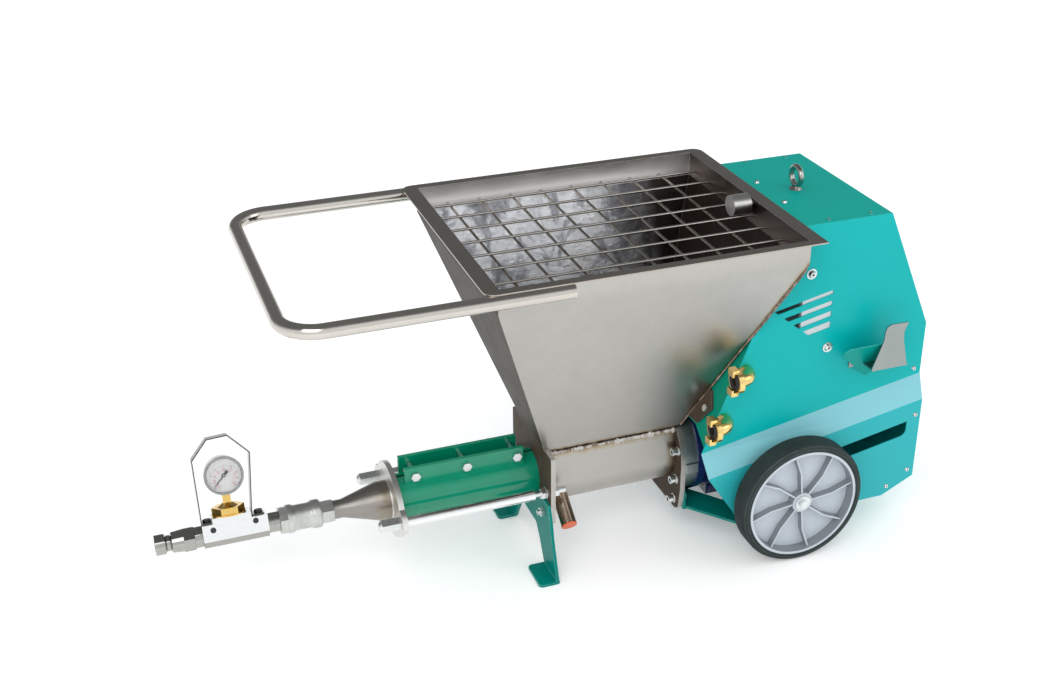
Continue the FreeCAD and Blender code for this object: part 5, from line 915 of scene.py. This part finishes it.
class GROUTPUMP_OT_stator(BuildPiece):
    """Build the stator casing with its clamp bolts, tie rods and nuts"""

    bl_idname = "groutpump.stator"
    bl_label = "Stator"
    softened_nodes = {"stator_casing": ("stator_green", 0.6), "clamp_bolts": ("zinc_plate", 0.4),
                      "rod_sleeves": ("bright_rod", 0.4), "rod_nuts": ("zinc_plate", 0.5),
                      "tie_rods": ("zinc_plate", 0.4)}


class GROUTPUMP_OT_stand(BuildPiece):
    """Build the front stand"""

    bl_idname = "groutpump.stand"
    bl_label = "Front stand"
    softened_nodes = {"front_stand": ("teal_dark", 0.8)}


class GROUTPUMP_OT_outlet(BuildPiece):
    """Build the outlet cone, the union and the hose tip"""

    bl_idname = "groutpump.outlet"
    bl_label = "Outlet"
    softened_nodes = {"outlet_cone": ("cone_steel", 0.7), "union_nut": ("cast_nickel", 0.8),
                      "swivel_body": ("cast_nickel", 0.9), "nipples": ("cam_steel", 0.4),
                      "camlock_adaptor": ("cam_steel", 0.7)}


class GROUTPUMP_OT_gauge(BuildPiece):
    """Build the gauge block, its guard and the pressure gauge"""

    bl_idname = "groutpump.gauge"
    bl_label = "Gauge"
    softened_nodes = {"gauge_fitting": ("brass_turned", 0.5), "gauge_case": ("bezel_steel", 0.6),
                      "gauge_dial": ("dial_white", 0.1), "gauge_pointer": ("ink_black", 0.1)}
    kept_nodes = {"gauge_glass": "clear_glass"}

    def extra(self):
        def choose(face):
            bevelled = -0.95 < face.normal.z < -0.3 and face.normal.y < -0.3
            return "bevel_steel" if bevelled else "milled_steel"

        mesh = soften(clean_mesh("gauge_block"), 0.8 * MM)
        stand_in("gauge_block", mesh, ["milled_steel", "bevel_steel"], choose)
        # Above its bend the guard gets painted dark reflection.
        self.split("gauge_guard", 0.4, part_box("gauge_guard")[1].z - GUARD_BEND_DROP, "guard_steel",
                   "dark_chrome")
        self.split("manifold_screws", 0.3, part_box("gauge_block")[1].z - BLOCK_TOP_DROP, "ink_black",
                   "zinc_plate")
        self.dial()

    def split(self, node, width, height, lower, upper):
        """A node with one finish below a height and another above it."""
        stand_in(node, soften(clean_mesh(node), width * MM), [lower, upper],
                 lambda face: upper if face.calc_center_median().z > height else lower)

    def dial(self):
        """Ticks round the dial and small numerals inside them."""
        low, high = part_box("gauge_dial")
        wide = (high.z - low.z) / 2
        hub = Vector(((low.x + high.x) / 2, low.y - PRINT_LIFT * MM, (low.z + high.z) / 2))
        black, red = bmesh.new(), bmesh.new()

        def stroke(mesh, start, end, width):
            run = end - start
            place = Matrix.Translation((start + end) / 2) @ run.to_track_quat("X", "Y").to_matrix().to_4x4()
            shape = Matrix.Diagonal((run.length, width, width, 1))
            bmesh.ops.create_cube(mesh, size=1.0, matrix=place @ shape)

        for index in range(DIAL_TICKS + 1):
            angle = math.radians(DIAL_START - DIAL_SWEEP * index / DIAL_TICKS)
            way = Vector((math.cos(angle), 0, math.sin(angle)))
            long = index % 5 == 0
            stroke(black, hub + way * wide * (LONG_TICK_FROM if long else TICK_FROM),
                   hub + way * wide * TICK_TO, (LONG_TICK_WIDTH if long else TICK_WIDTH) * MM)
            if long:
                self.numeral(red, stroke, index // 5 * 2, hub + way * wide * NUMERAL_PLACE,
                             wide * NUMERAL_SIZE)
        settle("dial_ticks", black, ["ink_black"], NODE_BODY["gauge_dial"], NODE_SLOT["gauge_pointer"])
        settle("dial_numerals", red, ["ink_red"], NODE_BODY["gauge_dial"], NODE_SLOT["switch_plates"])

    def numeral(self, mesh, stroke, value, centre, size):
        """A number in strokes round a centre, each digit two sizes high."""
        digits = str(value)
        for index, digit in enumerate(digits):
            middle_x = centre.x + (index - (len(digits) - 1) / 2) * size * 2.4
            for x0, z0, x1, z1 in (STROKES[name] for name in DIGITS[digit]):
                stroke(mesh, Vector((middle_x + x0 * size * 0.7, centre.y, centre.z + z0 * size)),
                       Vector((middle_x + x1 * size * 0.7, centre.y, centre.z + z1 * size)),
                       DIGIT_WIDTH * MM)


class GROUTPUMP_OT_handle(BuildPiece):
    """Build the push handle"""

    bl_idname = "groutpump.handle"
    bl_label = "Push handle"
    softened_nodes = {"push_handle": ("drawn_tube", 0.4)}


class GROUTPUMP_OT_grid(BuildPiece):
    """Build the safety grid and its stop"""

    bl_idname = "groutpump.grid"
    bl_label = "Safety grid"
    softened_nodes = {"grid_stop": ("turned_steel", 0.7)}

    def extra(self):
        mesh = clean_mesh("hopper_brackets")
        for faces in islands(mesh):
            places = [face.calc_center_median() for face in faces]
            tall = max(place.z for place in places) - min(place.z for place in places)
            for face in faces:
                face.material_index = 1 if tall < SMALL_SOLID else 0
        stand_in("hopper_brackets", soften(mesh, 0.4 * MM), ["brown_steel", "zinc_plate"])

        # Wires across the machine get the darker finish as painted shade; those along it keep the bright
        # one.
        def choose(face):
            longest = max(face.edges, key=lambda edge: edge.calc_length())
            run = longest.verts[1].co - longest.verts[0].co
            return "bright_wire" if abs(run.x) > abs(run.y) else "shaded_wire"

        stand_in("safety_grid", clean_mesh("safety_grid"), ["bright_wire", "shaded_wire"], choose,
                 smooth_angle=40)


class GROUTPUMP_OT_housing(BuildPiece):
    """Build the sheet housing of the drive"""

    bl_idname = "groutpump.housing"
    bl_label = "Housing"
    softened_nodes = {"left_side_panel": ("side_paint", 0.5), "right_side_panel": ("side_paint", 0.5),
                      "top_panel": ("teal_top", 0.5), "rear_cover": ("teal", 0.5),
                      "bottom_tray": ("teal", 0.5), "front_cover": ("cover_green", 0.5),
                      "eye_bolt": ("eye_steel", 0.5), "base_frame": ("teal_dark", 0.6)}
    kept_nodes = {"gear_motor": "navy", "inverter": "inverter_case"}

    def extra(self):
        mesh = clean_mesh("panel_screws")
        finishes = ["zinc_plate", "teal_top", "socket_dark"]
        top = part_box("top_panel")[1].z - TOP_SCREW_DROP

        def choose(face):
            place = face.calc_center_median()
            painted = place.z > top and TOP_SCREW_ROWS[0] < abs(place.y) < TOP_SCREW_ROWS[1]
            return "teal_top" if painted else "zinc_plate"

        sort_faces(mesh, finishes, choose)
        add_sockets(mesh, 2, HOUSING_CORE)
        stand_in("panel_screws", soften(mesh, 0.25 * MM), finishes)


class GROUTPUMP_OT_holder(BuildPiece):
    """Build the tool holder"""

    bl_idname = "groutpump.holder"
    bl_label = "Tool holder"
    softened_nodes = {"holder_bracket": ("holder_steel", 0.4), "holder_scoop": ("teal_top", 0.4)}


class GROUTPUMP_OT_couplings(BuildPiece):
    """Build the water couplings"""

    bl_idname = "groutpump.couplings"
    bl_label = "Water couplings"
    softened_nodes = {"water_couplings": ("brass_cast", 0.7), "coupling_seals": ("black_rubber", 0.5)}


class GROUTPUMP_OT_wheels(BuildPiece):
    """Build the wheels and their axles"""

    bl_idname = "groutpump.wheels"
    bl_label = "Wheels"
    softened_nodes = {"left_tyre": ("tyre_rubber", 1.5), "right_tyre": ("tyre_rubber", 1.5),
                      "stub_axles": ("zinc_plate", 0.5)}

    def extra(self):
        for node in ("left_rim", "right_rim"):
            mesh = soften(clean_mesh(node), 0.8 * MM)
            rim = mesh.faces.layers.float["rim"]

            def choose(face):
                # Walls of the recesses and ribs get the darker finish as painted shade.
                wall = abs(face.normal.y) < 0.8 and face[rim] < 0.5
                return "wheel_walls" if wall else "wheel_plastic"

            stand_in(node, mesh, ["wheel_plastic", "wheel_walls"], choose)


class GROUTPUMP_OT_controls(BuildPiece):
    """Build the switches, the speed knob and the power inlet"""

    bl_idname = "groutpump.controls"
    bl_label = "Controls"
    softened_nodes = {"switch_plates": ("switch_yellow", 0.8), "main_switch_knob": ("switch_red", 1.0),
                      "speed_knob": ("knob_black", 0.6), "stop_button": ("switch_red", 1.0),
                      "power_inlet": ("box_grey", 0.7)}


# The photograph's camera, solved from the machine's edges, in metres, degrees and millimetres.
CAMERA_PLACE = Vector((-0.77521, -2.14642, 1.60219))
CAMERA_AZIMUTH = math.radians(-20.641)
CAMERA_TILT = math.radians(27.161)
CAMERA_LENS = 48.655
CAMERA_SHIFT = (-0.02914, -0.00966)
SENSOR_WIDTH = 36.0
FLOOR_HALF = 30.0
FLOOR_GLOW = 0.24
LAMP_AIM = Vector((0, 0, 0.3))

# Name, place, size and share of the lamp power.
LAMPS = (("key_lamp", (-1.6, -2.4, 3.0), 2.2, 1.0), ("fill_lamp", (2.4, -1.6, 1.8), 2.0, 0.35))


class GROUTPUMP_OT_stage(bpy.types.Operator):
    """Set up the floor, the lamps and the camera"""

    bl_idname = "groutpump.stage"
    bl_label = "Stage"
    bl_options = {"REGISTER", "UNDO"}

    def execute(self, context):
        scene = context.scene
        self.floor(scene)
        self.light(scene)
        self.camera(scene)
        scene.view_settings.view_transform = "Standard"
        return {"FINISHED"}

    def floor(self, scene):
        """A matt floor that keeps shadows and glows a little in sight and in mirrors, not on the pieces."""
        data = bpy.data.meshes.new("floor")
        corners = [(x * FLOOR_HALF, y * FLOOR_HALF, 0) for x, y in ((-1, -1), (1, -1), (1, 1), (-1, 1))]
        data.from_pydata(corners, [], [(0, 1, 2, 3)])
        floor = add_object("floor", data)
        surface = bpy.data.materials.new("studio_floor")
        tree = fresh_tree(surface)
        rays = tree.add("ShaderNodeLightPath").outputs
        seen = tree.math("MAXIMUM", rays["Is Camera Ray"],
                         tree.math("MAXIMUM", rays["Is Glossy Ray"], rays["Is Transmission Ray"]))
        matt = tree.add("ShaderNodeBsdfDiffuse", {"Color": tuple(scene.grout_pump_stage.floor)})
        glow = tree.add("ShaderNodeEmission", {"Color": (1.0, 1.0, 1.0),
                                               "Strength": tree.times(seen, FLOOR_GLOW)})
        both = tree.add("ShaderNodeAddShader", {0: matt.outputs[0], 1: glow.outputs[0]})
        tree.add("ShaderNodeOutputMaterial", {"Surface": both.outputs[0]})
        data.materials.append(surface)

    def light(self, scene):
        """Even light, white where it is seen, a room dim overhead in mirrors, and two soft lamps."""
        world = bpy.data.worlds.new("studio")
        tree = fresh_tree(world)
        rays = tree.add("ShaderNodeLightPath").outputs
        dim = tree.add("ShaderNodeBackground", {"Color": (0.97, 0.985, 1.0),
                                                "Strength": scene.grout_pump_stage.sky})
        white = tree.add("ShaderNodeBackground", {"Color": (1.0, 1.0, 1.0), "Strength": 1.0})
        way = tree.add("ShaderNodeTexCoord").outputs["Generated"]
        level = tree.remap(tree.vector("DOT_PRODUCT", way, (0.0, 0.45, 0.9)), 0.16, 0.58, 1.0, 0.18)
        room = tree.add("ShaderNodeBackground", {"Color": (0.96, 0.98, 1.0), "Strength": level})
        mirrored = tree.add("ShaderNodeMixShader", {"Fac": rays["Is Glossy Ray"], 1: dim.outputs[0],
                                                    2: room.outputs[0]})
        clear = tree.math("MAXIMUM", rays["Is Camera Ray"], rays["Is Transmission Ray"])
        blend = tree.add("ShaderNodeMixShader", {"Fac": clear, 1: mirrored.outputs[0], 2: white.outputs[0]})
        tree.add("ShaderNodeOutputWorld", {"Surface": blend.outputs[0]})
        scene.world = world
        for name, place, size, share in LAMPS:
            data = bpy.data.lights.new(name, "AREA")
            data.size = size
            data.energy = scene.grout_pump_stage.lamp * share
            lamp = add_object(name, data)
            lamp.location = place
            lamp.rotation_euler = (LAMP_AIM - Vector(place)).to_track_quat("-Z", "Y").to_euler()

    def camera(self, scene):
        data = bpy.data.cameras.new("camera")
        data.lens = CAMERA_LENS
        data.sensor_width = SENSOR_WIDTH
        data.shift_x, data.shift_y = CAMERA_SHIFT
        camera = add_object("camera", data)
        camera.location = CAMERA_PLACE
        camera.rotation_euler = (math.pi / 2 - CAMERA_TILT, 0, CAMERA_AZIMUTH)
        scene.camera = camera


# The building steps, in the order in which they stand above.
PIECE_OPERATORS = (*BuildPiece.__subclasses__(), GROUTPUMP_OT_stage)


class GROUTPUMP_PT_panel(bpy.types.Panel):
    """Settings and building steps of the grout pump"""

    bl_idname = "GROUTPUMP_PT_panel"
    bl_label = "Grout Pump"
    bl_space_type = "VIEW_3D"
    bl_region_type = "UI"
    bl_category = "Grout Pump"

    def draw(self, context):
        layout = self.layout
        for group_name, group in SETTINGS.items():
            box = layout.box()
            for name in group.__annotations__:
                box.prop(getattr(context.scene, group_name), name)
        for operator in PIECE_OPERATORS:
            layout.operator(operator.bl_idname)


SETTINGS = {"grout_pump_paint": PaintSettings, "grout_pump_edges": EdgeSettings,
            "grout_pump_welds": WeldSettings, "grout_pump_stage": StageSettings}
CLASSES = (*SETTINGS.values(), *PIECE_OPERATORS, GROUTPUMP_PT_panel)


def register():
    for shown in CLASSES:
        bpy.utils.register_class(shown)
    for name, group in SETTINGS.items():
        setattr(bpy.types.Scene, name, PointerProperty(type=group))


def unregister():
    for name in SETTINGS:
        delattr(bpy.types.Scene, name)
    for shown in reversed(CLASSES):
        bpy.utils.unregister_class(shown)


def main():
    register()
    for operator in PIECE_OPERATORS:
        family, name = operator.bl_idname.split(".")
        getattr(getattr(bpy.ops, family), name)()


if __name__ == "__main__":
    main()
